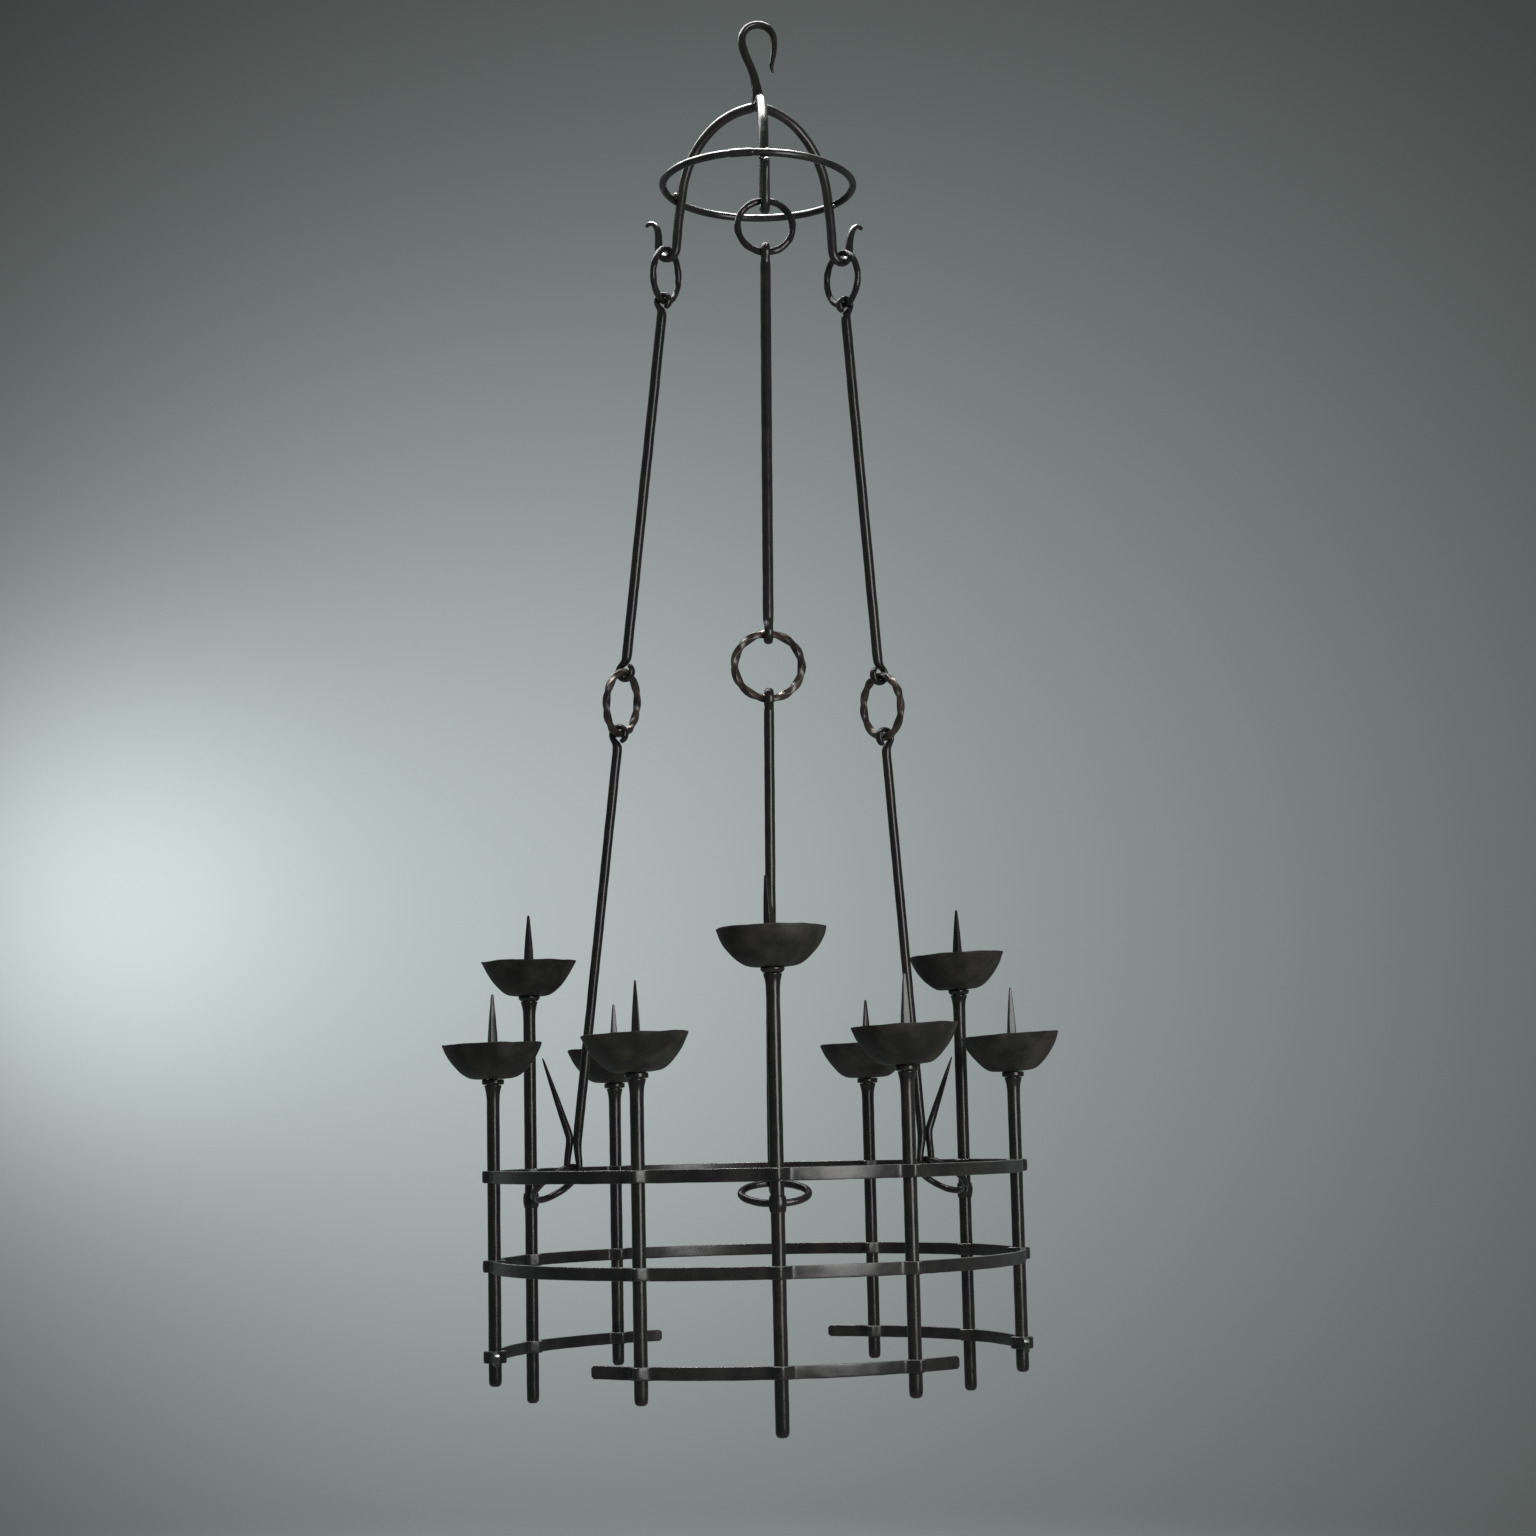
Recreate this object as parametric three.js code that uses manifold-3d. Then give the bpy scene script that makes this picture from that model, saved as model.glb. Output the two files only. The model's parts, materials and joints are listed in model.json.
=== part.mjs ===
// A hanging wrought iron chandelier for nine candles, in millimetres, +Z up.
// The origin is the seat inside the top hook, where whatever holds the chandelier bears.
// A hook and three crown arms carry three chains of links and rods, and the chains carry a basket:
// nine round posts in two drifted hoops and three short bands, each post with a collar, a drip cup
// and a pricket drawn from its own top.
import * as THREE from 'three';
import { mergeVertices } from 'three/addons/utils/BufferGeometryUtils.js';
import Module from 'manifold-3d';

const wasm = await Module();
wasm.setup();

// Clearances
const WELD_GAP = 0.3; // between pieces that are welded or pressed together on the real thing
const BEAR_GAP = 0.4; // between a link and the bar that it bears on
const EYE_SLACK = 1.0; // extra radius inside an eye, all round the bar that runs through it
const HOOK_SLACK = 0.95; // between a rod's end hook and the basket loop in it

// Layout: three groups, each with a tall post and a short one on either side. The front group's loop was
// bent flatter than the others, so the seat in it is lower.
const GROUPS = [
  { name: 'front', azimuth: 0, loopSeat: -9 },
  { name: 'right', azimuth: 120, loopSeat: 7 },
  { name: 'left', azimuth: -120, loopSeat: 7 },
];
const POST_SPREAD = 28.4; // degrees from a tall post to the short posts beside it
const POST_CIRCLE = 268; // radius of the circle that the posts stand on

// Crown
const HOOK_BAR = 10; // thickness of the top hook
const HOOK_BEND = 17.5; // radius of the hook's bend, to the middle of the bar
const HOOK_FOOT_BAR = 14; // the shank's foot, which the arms are welded to
const ARM_BAR = 10.4;
const ARM_SPRING = 87; // drop from the hook's seat to where the arms spring
const CROWN_RING_RADIUS = 101.8;
const CROWN_RING_BAR = 8;
const CROWN_RING_DROP = 176.5;
const CROWN_HOOK_RADIUS = 109; // from the axis to the bottom of each arm's hook
const CROWN_HOOK_DROP = 240.5;
const CROWN_HOOK_SIDE = 1.9; // room beside the link in each arm's hook
const ARM_FULLNESS = 1.1; // above 1 the dome of the arms is flatter than an ellipse

// Chains
const UPPER_LINK_RADIUS = 28.4;
const UPPER_LINK_BAR = 7.2;
const UPPER_ROD_LENGTH = 423; // between the far sides of its eyes, to the middle of the bar
const UPPER_ROD_BAR = 10.6;
const MIDDLE_LINK_RADIUS = 33.2;
const MIDDLE_LINK_BAR = 8.6; // across the corners of the twisted square bar
const MIDDLE_LINK_TWISTS = 8; // quarter turns of the bar round the link
const LOWER_ROD_BAR = 9.8;
const EYE_BAR = 6; // the rods are drawn down to this where they bend into eyes
const EYE_NECK = 16; // length of the taper between a rod and its eye
const END_HOOK_BAR = 7;
const END_HOOK_OFFSET = 1.5; // from the rod's middle to the middle of its end hook
const SPIKE_PINCH_RISE = 28; // from the hook's seat to where rod and spike are pressed together
const SPIKE_TIP_OUT = 52;
const SPIKE_TIP_RISE = 108;
const SPIKE_TIP_BAR = 2;
const SPIKE_BOW = 2; // the spike bows inwards by a quarter of this half way up

// Basket, with heights from the middle of the upper hoop
const BASKET_DROP = 1221.5; // from the hook's seat down to the upper hoop
const BASKET_LEAN = 1.25; // degrees: the chains differ a little, so the basket hangs low on the left
const HOOP_HEIGHT = 12.5;
const HOOP_THICKNESS = 5;
const MIDDLE_HOOP_DROP = 89.5;
const LOWER_BAND_DROP = 179.5;
const LOWER_BAND_REACH = 11.4; // degrees that a lower band runs past its outer posts
const BAND_POINT = 4.5; // length of the blunt forged point at a band's ends
const BAND_POINT_CUT = 0.3; // share of the height cut off above and below at the point
const EYE_WALL = 4.4; // metal left round a post where the bar is slit and drifted open
const EYE_SPREAD = 13; // half the length of the swelling round a post

// Posts, collars and cups
const POST_BAR = 13;
const TALL_SHOULDER = 183.3;
const SHORT_SHOULDER = 90.8;
const TALL_FOOT = -238;
const SHORT_FOOT = -209;
const FOOT_CHAMFER = 2.6;
const SHOULDER_FLARE = 2.4; // the post's top is upset this much wider under its collar
const TENON_BAR = 8.6; // the post's top is drawn down to this to pass through collar and cup
const COLLAR_RADIUS = 11.2;
const COLLAR_HEIGHT = 5.6;
const CUP_RADIUS = 50.9;
const CUP_HEIGHT = 37.4;
const CUP_WALL = 2;
const CUP_FLAT = 20; // radius of the cup's flat bottom
const CUP_CURVE = 1.9; // power that the cup's side rises with, from the flat bottom to the rim
const PRICKET_LENGTH = 86.5; // from the cup's underside to the tip
const PRICKET_TIP_BAR = 1.4;

// Basket loops, which the chains' end hooks hold
const LOOP_BAR = 6.2;
const LOOP_WIDTH = 63;
const LOOP_SEAT_RADIUS = 216; // from the axis to the side of the loop that the hook holds
const LOOP_WELD_DROP = 27;
const LOOP_WELD_RADIUS = 8.6;
const LOOP_WELD_HEIGHT = 17;
const LOOP_WELD_EDGE = 1.7; // the weld's edges are worked round by about this much

// Facets
const BAR_SIDES = 8;
const LINK_STEPS = 24;
const LINK_SIDES = 6;
const CROWN_RING_STEPS = 36;
const EYE_STEPS = 12;
const POST_SIDES = 10;
const CUP_SIDES = 16;
const HOOP_STEP = 8; // degrees between an open stretch's points

const ALONG_X = new THREE.Vector3(1, 0, 0);
const ALONG_Y = new THREE.Vector3(0, 1, 0);
const ALONG_Z = new THREE.Vector3(0, 0, 1);
const radians = THREE.MathUtils.degToRad;

// Finishes
const IRON = { color: 0x2c2826, roughness: 0.55, metalness: 0.85 };
const WORN_IRON = { color: 0x4a4846, roughness: 0.45, metalness: 0.9 };
const RED_IRON = { color: 0x3a2925, roughness: 0.55, metalness: 0.85 };
const CUP_IRON = { color: 0x383432, roughness: 0.7, metalness: 0.7 };

const chandelier = new THREE.Group();
const basket = new THREE.Group();
basket.position.z = -BASKET_DROP;
basket.rotation.y = radians(-BASKET_LEAN);
chandelier.add(basket);

// Mesh helpers

function signedVolume(geometry) {
  const p = geometry.attributes.position;
  const index = geometry.index;
  const corners = [new THREE.Vector3(), new THREE.Vector3(), new THREE.Vector3()];
  let volume = 0;
  for (let i = 0; i < index.count; i += 3) {
    corners.forEach((corner, k) => corner.fromBufferAttribute(p, index.getX(i + k)));
    volume += corners[0].dot(corners[1].clone().cross(corners[2])) / 6;
  }
  return volume;
}

// Shares the vertices of a skin and turns its faces outwards.
function closedSkin(geometry) {
  const bare = geometry.clone();
  bare.deleteAttribute('normal');
  bare.deleteAttribute('uv');
  const skin = mergeVertices(bare, 1e-4);
  if (signedVolume(skin) < 0) {
    const flipped = [];
    for (let i = 0; i < skin.index.count; i += 3) {
      flipped.push(skin.index.getX(i), skin.index.getX(i + 2), skin.index.getX(i + 1));
    }
    skin.setIndex(flipped);
  }
  return skin;
}

function solidOf(geometry) {
  const skin = closedSkin(geometry);
  return new wasm.Manifold(new wasm.Mesh({
    numProp: 3,
    vertProperties: Float32Array.from(skin.attributes.position.array),
    triVerts: Uint32Array.from(skin.index.array),
  }));
}

function skinOf(solid) {
  const mesh = solid.getMesh();
  const geometry = new THREE.BufferGeometry();
  geometry.setAttribute('position', new THREE.BufferAttribute(Float32Array.from(mesh.vertProperties), 3));
  geometry.setIndex(Array.from(mesh.triVerts));
  return geometry;
}

function addPiece(parent, name, geometry, finish) {
  const skin = closedSkin(geometry);
  skin.computeVertexNormals();
  const mesh = new THREE.Mesh(skin, new THREE.MeshStandardMaterial(finish));
  mesh.name = name;
  parent.add(mesh);
  return mesh;
}

// A group whose +X runs outwards at an azimuth counted from the front, positive to the right.
function spoke(parent, azimuth) {
  const group = new THREE.Group();
  group.rotation.z = radians(azimuth - 90);
  parent.add(group);
  return group;
}

function roundOutline(bar, sides = BAR_SIDES) {
  return Array.from({ length: sides }, (_, i) => {
    const angle = ((i + 0.5) / sides) * 2 * Math.PI;
    return [(bar / 2) * Math.cos(angle), (bar / 2) * Math.sin(angle)];
  });
}

// A forged bar: the outline at each point of a flat spine, joined into one closed skin.
function forgeBar(spine, normal, outlineAt, closed = false) {
  const positions = [];
  const index = [];
  const count = spine.length;
  for (let i = 0; i < count; i++) {
    const before = spine[closed ? (i + count - 1) % count : Math.max(i - 1, 0)];
    const after = spine[closed ? (i + 1) % count : Math.min(i + 1, count - 1)];
    const along = after.clone().sub(before).normalize();
    const side = new THREE.Vector3().crossVectors(normal, along);
    for (const [u, v] of outlineAt(i)) {
      const p = spine[i].clone().addScaledVector(side, u).addScaledVector(normal, v);
      positions.push(p.x, p.y, p.z);
    }
  }
  const sides = positions.length / 3 / count;
  for (let i = 0; i < (closed ? count : count - 1); i++) {
    for (let j = 0; j < sides; j++) {
      const next = (j + 1) % sides;
      const here = i * sides;
      const there = ((i + 1) % count) * sides;
      index.push(here + j, here + next, there + next);
      index.push(here + j, there + next, there + j);
    }
  }
  if (!closed) {
    const last = (count - 1) * sides;
    for (let j = 1; j < sides - 1; j++) {
      index.push(0, j + 1, j);
      index.push(last, last + j, last + j + 1);
    }
  }
  const geometry = new THREE.BufferGeometry();
  geometry.setAttribute('position', new THREE.Float32BufferAttribute(positions, 3));
  geometry.setIndex(index);
  return geometry;
}

// The points of an ellipse round a centre, with its two half-axes as vectors.
function ellipse(centre, halfA, halfB, steps) {
  return Array.from({ length: steps }, (_, i) => {
    const angle = (i / steps) * 2 * Math.PI;
    return centre.clone().addScaledVector(halfA, Math.cos(angle)).addScaledVector(halfB, Math.sin(angle));
  });
}

function turned(profile, sides) {
  const points = profile.map(([radius, height]) => new THREE.Vector2(radius, height));
  return new THREE.LatheGeometry(points, sides).rotateX(Math.PI / 2);
}

const inPlane = (x, z) => new THREE.Vector3(x, 0, z);

const hookMiddle = -(HOOK_BEND - HOOK_BAR / 2);

// The top hook: a foot between the arms' roots, a waisted shank and a bend that tapers to a flicked tip.
function topHook() {
  const shank = -ARM_SPRING - hookMiddle + HOOK_BEND;
  const spine = [
    inPlane(0, -ARM_SPRING - ARM_BAR / 2),
    inPlane(0, -ARM_SPRING + ARM_BAR / 2),
    inPlane(-HOOK_BEND * 0.1, hookMiddle - HOOK_BEND + shank * 0.66),
    inPlane(-HOOK_BEND * 0.26, hookMiddle - HOOK_BEND + shank * 0.4),
    inPlane(-HOOK_BEND * 0.54, hookMiddle - HOOK_BEND + shank * 0.16),
    inPlane(-HOOK_BEND * 0.85, hookMiddle - HOOK_BEND * 0.8),
  ];
  for (const angle of [190, 160, 130, 105, 80, 55, 30, 5]) {
    const across = HOOK_BEND * Math.cos(radians(angle));
    spine.push(inPlane(across, hookMiddle + HOOK_BEND * Math.sin(radians(angle))));
  }
  spine.push(inPlane(HOOK_BEND * 1.02, hookMiddle - HOOK_BEND * 0.65));
  spine.push(inPlane(HOOK_BEND * 0.84, hookMiddle - HOOK_BEND * 1.4));
  spine.push(inPlane(HOOK_BEND * 0.94, hookMiddle - HOOK_BEND * 2));
  const foot = HOOK_FOOT_BAR / HOOK_BAR;
  const bars = [foot, foot, 0.95, 0.9, 0.95, 1, 1, 1, 1, 1, 1, 0.95, 0.88, 0.8, 0.7, 0.55, 0.35];
  return forgeBar(spine, ALONG_Y, (i) => roundOutline(HOOK_BAR * bars[i]));
}

// A crown arm: a domed fall to the ring, a straight drop, a hook for the chain and an outward curl.
const armRootRadius = HOOK_FOOT_BAR / 2 + WELD_GAP;
const armRingRadius = CROWN_RING_RADIUS - CROWN_RING_BAR / 2 - WELD_GAP - ARM_BAR / 2;
const armHookBend = ARM_BAR / 2 + UPPER_LINK_BAR / 2 + CROWN_HOOK_SIDE;

function crownArm() {
  const spine = [];
  const bars = [];
  const add = (radius, height, bar = 1) => {
    spine.push(inPlane(radius, height));
    bars.push(bar * ARM_BAR);
  };
  add(armRootRadius, -ARM_SPRING);
  const domeStart = armRootRadius + ARM_BAR * 0.4;
  const domeHeight = CROWN_RING_DROP - ARM_SPRING;
  for (const angle of [0, 12, 25, 38, 50, 61, 72, 90]) {
    const out = Math.sin(radians(angle));
    const up = Math.cos(radians(angle)) ** ARM_FULLNESS;
    add(domeStart + (armRingRadius - domeStart) * out, -CROWN_RING_DROP + domeHeight * up);
  }
  const bendHeight = -CROWN_HOOK_DROP + armHookBend;
  add(CROWN_HOOK_RADIUS - armHookBend, bendHeight + ARM_BAR * 1.5);
  for (const angle of [180, 215, 250, 290, 325, 360]) {
    const across = armHookBend * Math.cos(radians(angle));
    add(CROWN_HOOK_RADIUS + across, bendHeight + armHookBend * Math.sin(radians(angle)), 0.97);
  }
  const riser = CROWN_HOOK_RADIUS + armHookBend;
  add(riser + ARM_BAR * 0.1, bendHeight + ARM_BAR * 1.2, 0.8);
  add(riser + ARM_BAR * 0.45, bendHeight + ARM_BAR * 2.3, 0.68);
  add(riser + ARM_BAR * 1.0, bendHeight + ARM_BAR * 2.95, 0.58);
  add(riser + ARM_BAR * 1.65, bendHeight + ARM_BAR * 2.95, 0.4);
  return forgeBar(spine, ALONG_Y, (i) => roundOutline(bars[i]));
}

function ringBar(radius, bar, steps, sides, axisA, axisB) {
  const spine = ellipse(new THREE.Vector3(), axisA.clone().multiplyScalar(radius),
    axisB.clone().multiplyScalar(radius), steps);
  const normal = new THREE.Vector3().crossVectors(axisA, axisB);
  return forgeBar(spine, normal, () => roundOutline(bar, sides), true);
}

// A link of square bar, twisted cold, with its corners rubbed off.
function twistedLink() {
  const half = MIDDLE_LINK_BAR / 2;
  const spine = ellipse(new THREE.Vector3(), ALONG_Y.clone().multiplyScalar(MIDDLE_LINK_RADIUS),
    ALONG_Z.clone().multiplyScalar(MIDDLE_LINK_RADIUS), LINK_STEPS);
  const corner = [1, 0.82];
  return forgeBar(spine, ALONG_X, (i) => Array.from({ length: 8 }, (_, k) => {
    const twist = (i / LINK_STEPS) * MIDDLE_LINK_TWISTS * (Math.PI / 2);
    const angle = (k / 8) * 2 * Math.PI + twist;
    return [half * corner[k % 2] * Math.cos(angle), half * corner[k % 2] * Math.sin(angle)];
  }), true);
}

// A rod between two distances down the chain, drawn down at each end that has an eye.
function rodSpine(from, to) {
  return [inPlane(0, -from), inPlane(0, -from - EYE_NECK), inPlane(0, -to + EYE_NECK), inPlane(0, -to)];
}

function eyeAt(middle, radius) {
  const spine = ellipse(inPlane(0, -middle), ALONG_Z.clone().multiplyScalar(radius),
    ALONG_X.clone().multiplyScalar(radius), EYE_STEPS);
  return forgeBar(spine, ALONG_Y, () => roundOutline(EYE_BAR, LINK_SIDES), true);
}

const upperEye = UPPER_LINK_BAR / 2 + EYE_SLACK + EYE_BAR / 2;
const middleEye = MIDDLE_LINK_BAR / 2 + EYE_SLACK + EYE_BAR / 2;
const endHookBend = LOOP_BAR / 2 + HOOK_SLACK + END_HOOK_BAR / 2;
const spikePinch = (LOWER_ROD_BAR + END_HOOK_BAR) / 2 + WELD_GAP;

// Distances down the chain from the middle of the crown arm's hook, each hung from the one before.
const upperLinkTop = -(ARM_BAR / 2 + BEAR_GAP + UPPER_LINK_BAR / 2);
const upperLinkMiddle = upperLinkTop + UPPER_LINK_RADIUS;
const upperRodTop = upperLinkMiddle + UPPER_LINK_RADIUS - (UPPER_LINK_BAR + EYE_BAR) / 2 - BEAR_GAP;
const upperRodFoot = upperRodTop + UPPER_ROD_LENGTH;
const middleLinkTop = upperRodFoot - (EYE_BAR + MIDDLE_LINK_BAR) / 2 - BEAR_GAP;
const middleLinkMiddle = middleLinkTop + MIDDLE_LINK_RADIUS;
const lowerRodTop = middleLinkMiddle + MIDDLE_LINK_RADIUS - (MIDDLE_LINK_BAR + EYE_BAR) / 2 - BEAR_GAP;

function upperRod() {
  const bars = [EYE_BAR, UPPER_ROD_BAR, UPPER_ROD_BAR, EYE_BAR];
  const spine = rodSpine(upperRodTop + 2 * upperEye, upperRodFoot - 2 * middleEye);
  const rod = solidOf(forgeBar(spine, ALONG_Y, (i) => roundOutline(bars[i])));
  const top = solidOf(eyeAt(upperRodTop + upperEye, upperEye));
  const foot = solidOf(eyeAt(upperRodFoot - middleEye, middleEye));
  return skinOf(rod.add(top).add(foot));
}

// The lower rod runs on into a hook round the basket's loop and a spike that leans outwards.
function lowerRod(seat) {
  const start = lowerRodTop + 2 * middleEye;
  const spine = [inPlane(0, -start), inPlane(0, -start - EYE_NECK), inPlane(0, -seat + SPIKE_PINCH_RISE)];
  const bars = [EYE_BAR, LOWER_ROD_BAR, LOWER_ROD_BAR];
  for (const angle of [180, 210, 240, 270, 300, 330, 360]) {
    const across = END_HOOK_OFFSET + endHookBend * Math.cos(radians(angle));
    spine.push(inPlane(across, -seat + endHookBend * Math.sin(radians(angle))));
    bars.push(END_HOOK_BAR);
  }
  const pinch = inPlane(spikePinch, -seat + SPIKE_PINCH_RISE);
  const tip = inPlane(SPIKE_TIP_OUT, -seat + SPIKE_TIP_RISE);
  for (const share of [0, 0.14, 0.5, 1]) {
    const bow = inPlane(-SPIKE_BOW * share * (1 - share), 0);
    spine.push(pinch.clone().lerp(tip, share).add(bow));
    bars.push(THREE.MathUtils.lerp(END_HOOK_BAR, SPIKE_TIP_BAR, share ** 1.3));
  }
  const rod = solidOf(forgeBar(spine, ALONG_Y, (i) => roundOutline(bars[i])));
  return skinOf(rod.add(solidOf(eyeAt(lowerRodTop + middleEye, middleEye))));
}

// A loop leans up and inwards from its weld on the tall post to the seat of the chain's hook.
function basketLoop(seatHeight) {
  const weldRadius = POST_CIRCLE - POST_BAR / 2 - WELD_GAP - LOOP_BAR / 2;
  const seat = inPlane(LOOP_SEAT_RADIUS, seatHeight);
  const weld = inPlane(weldRadius, -LOOP_WELD_DROP);
  const middle = seat.clone().lerp(weld, 0.5);
  const half = seat.clone().sub(middle);
  const across = ALONG_Y.clone().multiplyScalar(LOOP_WIDTH / 2);
  const normal = half.clone().cross(across).normalize();
  const ring = forgeBar(ellipse(middle, half, across, LINK_STEPS), normal,
    () => roundOutline(LOOP_BAR, LINK_SIDES), true);
  const top = LOOP_WELD_HEIGHT / 2;
  const collar = turned([[0, -top], [LOOP_WELD_RADIUS - LOOP_WELD_EDGE, -top], [LOOP_WELD_RADIUS, -top / 2],
    [LOOP_WELD_RADIUS, top / 2], [LOOP_WELD_RADIUS - LOOP_WELD_EDGE, top], [0, top]], POST_SIDES);
  collar.translate(POST_CIRCLE, 0, -LOOP_WELD_DROP);
  return skinOf(solidOf(ring).add(solidOf(collar)).subtract(postHole(0, -LOOP_WELD_DROP, LOOP_WELD_HEIGHT)));
}

// Hoops and bands

// A hole for a post at an angle from +X, wide enough for the post's facets.
function postHole(angle, height, depth) {
  const radius = POST_BAR / 2 / Math.cos(Math.PI / POST_SIDES) + WELD_GAP;
  const hole = new THREE.CylinderGeometry(radius, radius, depth * 2, POST_SIDES).rotateX(Math.PI / 2);
  const x = POST_CIRCLE * Math.cos(radians(angle));
  const y = POST_CIRCLE * Math.sin(radians(angle));
  hole.translate(x, y, height);
  return solidOf(hole);
}

// Half the bar's thickness at an angle, swollen round each post that it takes.
function halfThickness(angle, posts) {
  const nearest = Math.min(...posts.map((post) => Math.abs(((angle - post + 540) % 360) - 180)));
  const away = radians(nearest) * POST_CIRCLE;
  const swelling = away < EYE_SPREAD ? 0.5 + 0.5 * Math.cos((away / EYE_SPREAD) * Math.PI) : 0;
  const eye = POST_BAR / 2 + WELD_GAP + EYE_WALL;
  return HOOP_THICKNESS / 2 + (eye - HOOP_THICKNESS / 2) * swelling;
}

// Angles for the outline: close together round a post's eye and wide apart between posts.
function outlineAngles(start, end, posts) {
  const spread = THREE.MathUtils.radToDeg(EYE_SPREAD / POST_CIRCLE);
  const marks = posts.flatMap((post) => [-1, -0.5, 0, 0.5, 1].map((k) => post + k * spread));
  const angles = [start, ...marks, end].sort((a, b) => a - b);
  const filled = [];
  angles.forEach((angle, i) => {
    filled.push(angle);
    const gap = (angles[i + 1] ?? angle) - angle;
    const pieces = Math.ceil(gap / HOOP_STEP);
    for (let k = 1; k < pieces; k++) filled.push(angle + (gap * k) / pieces);
  });
  return filled;
}

const contour = (angles, posts, sign) => angles.map((angle) => {
  const radius = POST_CIRCLE + sign * halfThickness(angle, posts);
  return new THREE.Vector2(radius * Math.cos(radians(angle)), radius * Math.sin(radians(angle)));
});

function extrudeFlat(shape) {
  const bar = new THREE.ExtrudeGeometry(shape, { depth: HOOP_HEIGHT, bevelEnabled: false });
  return bar.translate(0, 0, -HOOP_HEIGHT / 2);
}

function drilled(geometry, posts) {
  return skinOf(posts.reduce((bar, post) => bar.subtract(postHole(post, 0, HOOP_HEIGHT)), solidOf(geometry)));
}

// A full hoop, with an eye for every post.
function hoop(posts) {
  const first = Math.min(...posts) - THREE.MathUtils.radToDeg(EYE_SPREAD / POST_CIRCLE);
  const angles = outlineAngles(first, first + 360, posts).slice(0, -1);
  const shape = new THREE.Shape(contour(angles, posts, 1));
  shape.holes.push(new THREE.Path(contour(angles, posts, -1)));
  return drilled(extrudeFlat(shape), posts);
}

// A short band through one group's three posts, its ends cut to blunt points.
function lowerBand() {
  const posts = [-POST_SPREAD, 0, POST_SPREAD];
  const end = POST_SPREAD + LOWER_BAND_REACH;
  const angles = outlineAngles(-end, end, posts);
  const shape = new THREE.Shape([...contour(angles, posts, 1), ...contour(angles, posts, -1).reverse()]);
  let band = solidOf(drilled(extrudeFlat(shape), posts));
  for (const side of [-1, 1]) {
    for (const up of [-1, 1]) {
      band = band.subtract(endWedge(side * end, side, up));
    }
  }
  return skinOf(band);
}

// The corner that is cut from a band's end to leave a blunt point.
function endWedge(angle, side, up) {
  const drop = HOOP_HEIGHT * BAND_POINT_CUT;
  const wedge = new THREE.Shape([
    new THREE.Vector2(side, up * (HOOP_HEIGHT / 2 - drop)),
    new THREE.Vector2(side, up * HOOP_HEIGHT),
    new THREE.Vector2(-side * BAND_POINT * 2, up * HOOP_HEIGHT),
    new THREE.Vector2(-side * BAND_POINT, up * HOOP_HEIGHT / 2),
  ]);
  const depth = HOOP_THICKNESS * 4;
  const cut = new THREE.ExtrudeGeometry(wedge, { depth, bevelEnabled: false });
  cut.translate(0, 0, -depth / 2);
  cut.rotateX(Math.PI / 2);
  cut.rotateZ(Math.PI / 2);
  cut.translate(POST_CIRCLE, 0, 0);
  cut.rotateZ(radians(angle));
  return solidOf(cut);
}

// Posts, collars and cups

const collarBottom = (shoulder) => shoulder + WELD_GAP;
const cupBottom = (shoulder) => collarBottom(shoulder) + COLLAR_HEIGHT + WELD_GAP;

// A round post with a blunt foot, whose top is drawn down to a tenon and on to the pricket.
function post(shoulder, foot) {
  const radius = POST_BAR / 2;
  const tenon = TENON_BAR / 2;
  const floor = cupBottom(shoulder) + CUP_WALL;
  return turned([
    [0, foot], [radius - FOOT_CHAMFER * 0.7, foot], [radius, foot + FOOT_CHAMFER],
    [radius, shoulder - SHOULDER_FLARE * 3], [radius + SHOULDER_FLARE, shoulder],
    [tenon, shoulder], [tenon, floor + 1], [tenon * 0.86, floor + CUP_HEIGHT],
    [PRICKET_TIP_BAR / 2, cupBottom(shoulder) + PRICKET_LENGTH - 1],
    [0, cupBottom(shoulder) + PRICKET_LENGTH],
  ], POST_SIDES);
}

const tenonHole = TENON_BAR / 2 / Math.cos(Math.PI / POST_SIDES) + WELD_GAP;

function collar(shoulder) {
  const bottom = collarBottom(shoulder);
  const top = bottom + COLLAR_HEIGHT;
  return turned([[tenonHole, bottom], [POST_BAR / 2, bottom], [COLLAR_RADIUS, bottom + COLLAR_HEIGHT * 0.3],
    [COLLAR_RADIUS, top], [tenonHole, top], [tenonHole, bottom]], POST_SIDES);
}

// A raised bowl on a flat bottom.
function cup(shoulder) {
  const bottom = cupBottom(shoulder);
  const outside = [0, 0.35, 0.64, 0.86, 1].map((share) => {
    const rise = share ** CUP_CURVE;
    return [CUP_FLAT + (CUP_RADIUS - CUP_FLAT) * share, bottom + CUP_HEIGHT * rise];
  });
  const inside = [1, 0.84, 0.6, 0.3].map((share) => {
    const rise = share ** CUP_CURVE;
    const radius = CUP_FLAT + (CUP_RADIUS - CUP_WALL - CUP_FLAT) * share;
    return [radius, bottom + CUP_WALL + (CUP_HEIGHT - CUP_WALL) * rise];
  });
  return turned([[tenonHole, bottom], ...outside, ...inside,
    [tenonHole, bottom + CUP_WALL], [tenonHole, bottom]], CUP_SIDES);
}

// Assembly

addPiece(chandelier, 'top_hook', topHook(), IRON);
const crownRing = ringBar(CROWN_RING_RADIUS, CROWN_RING_BAR, CROWN_RING_STEPS, LINK_SIDES,
  ALONG_X, ALONG_Y);
addPiece(chandelier, 'crown_ring', crownRing, WORN_IRON).position.z = -CROWN_RING_DROP;

const pivots = {};

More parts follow.
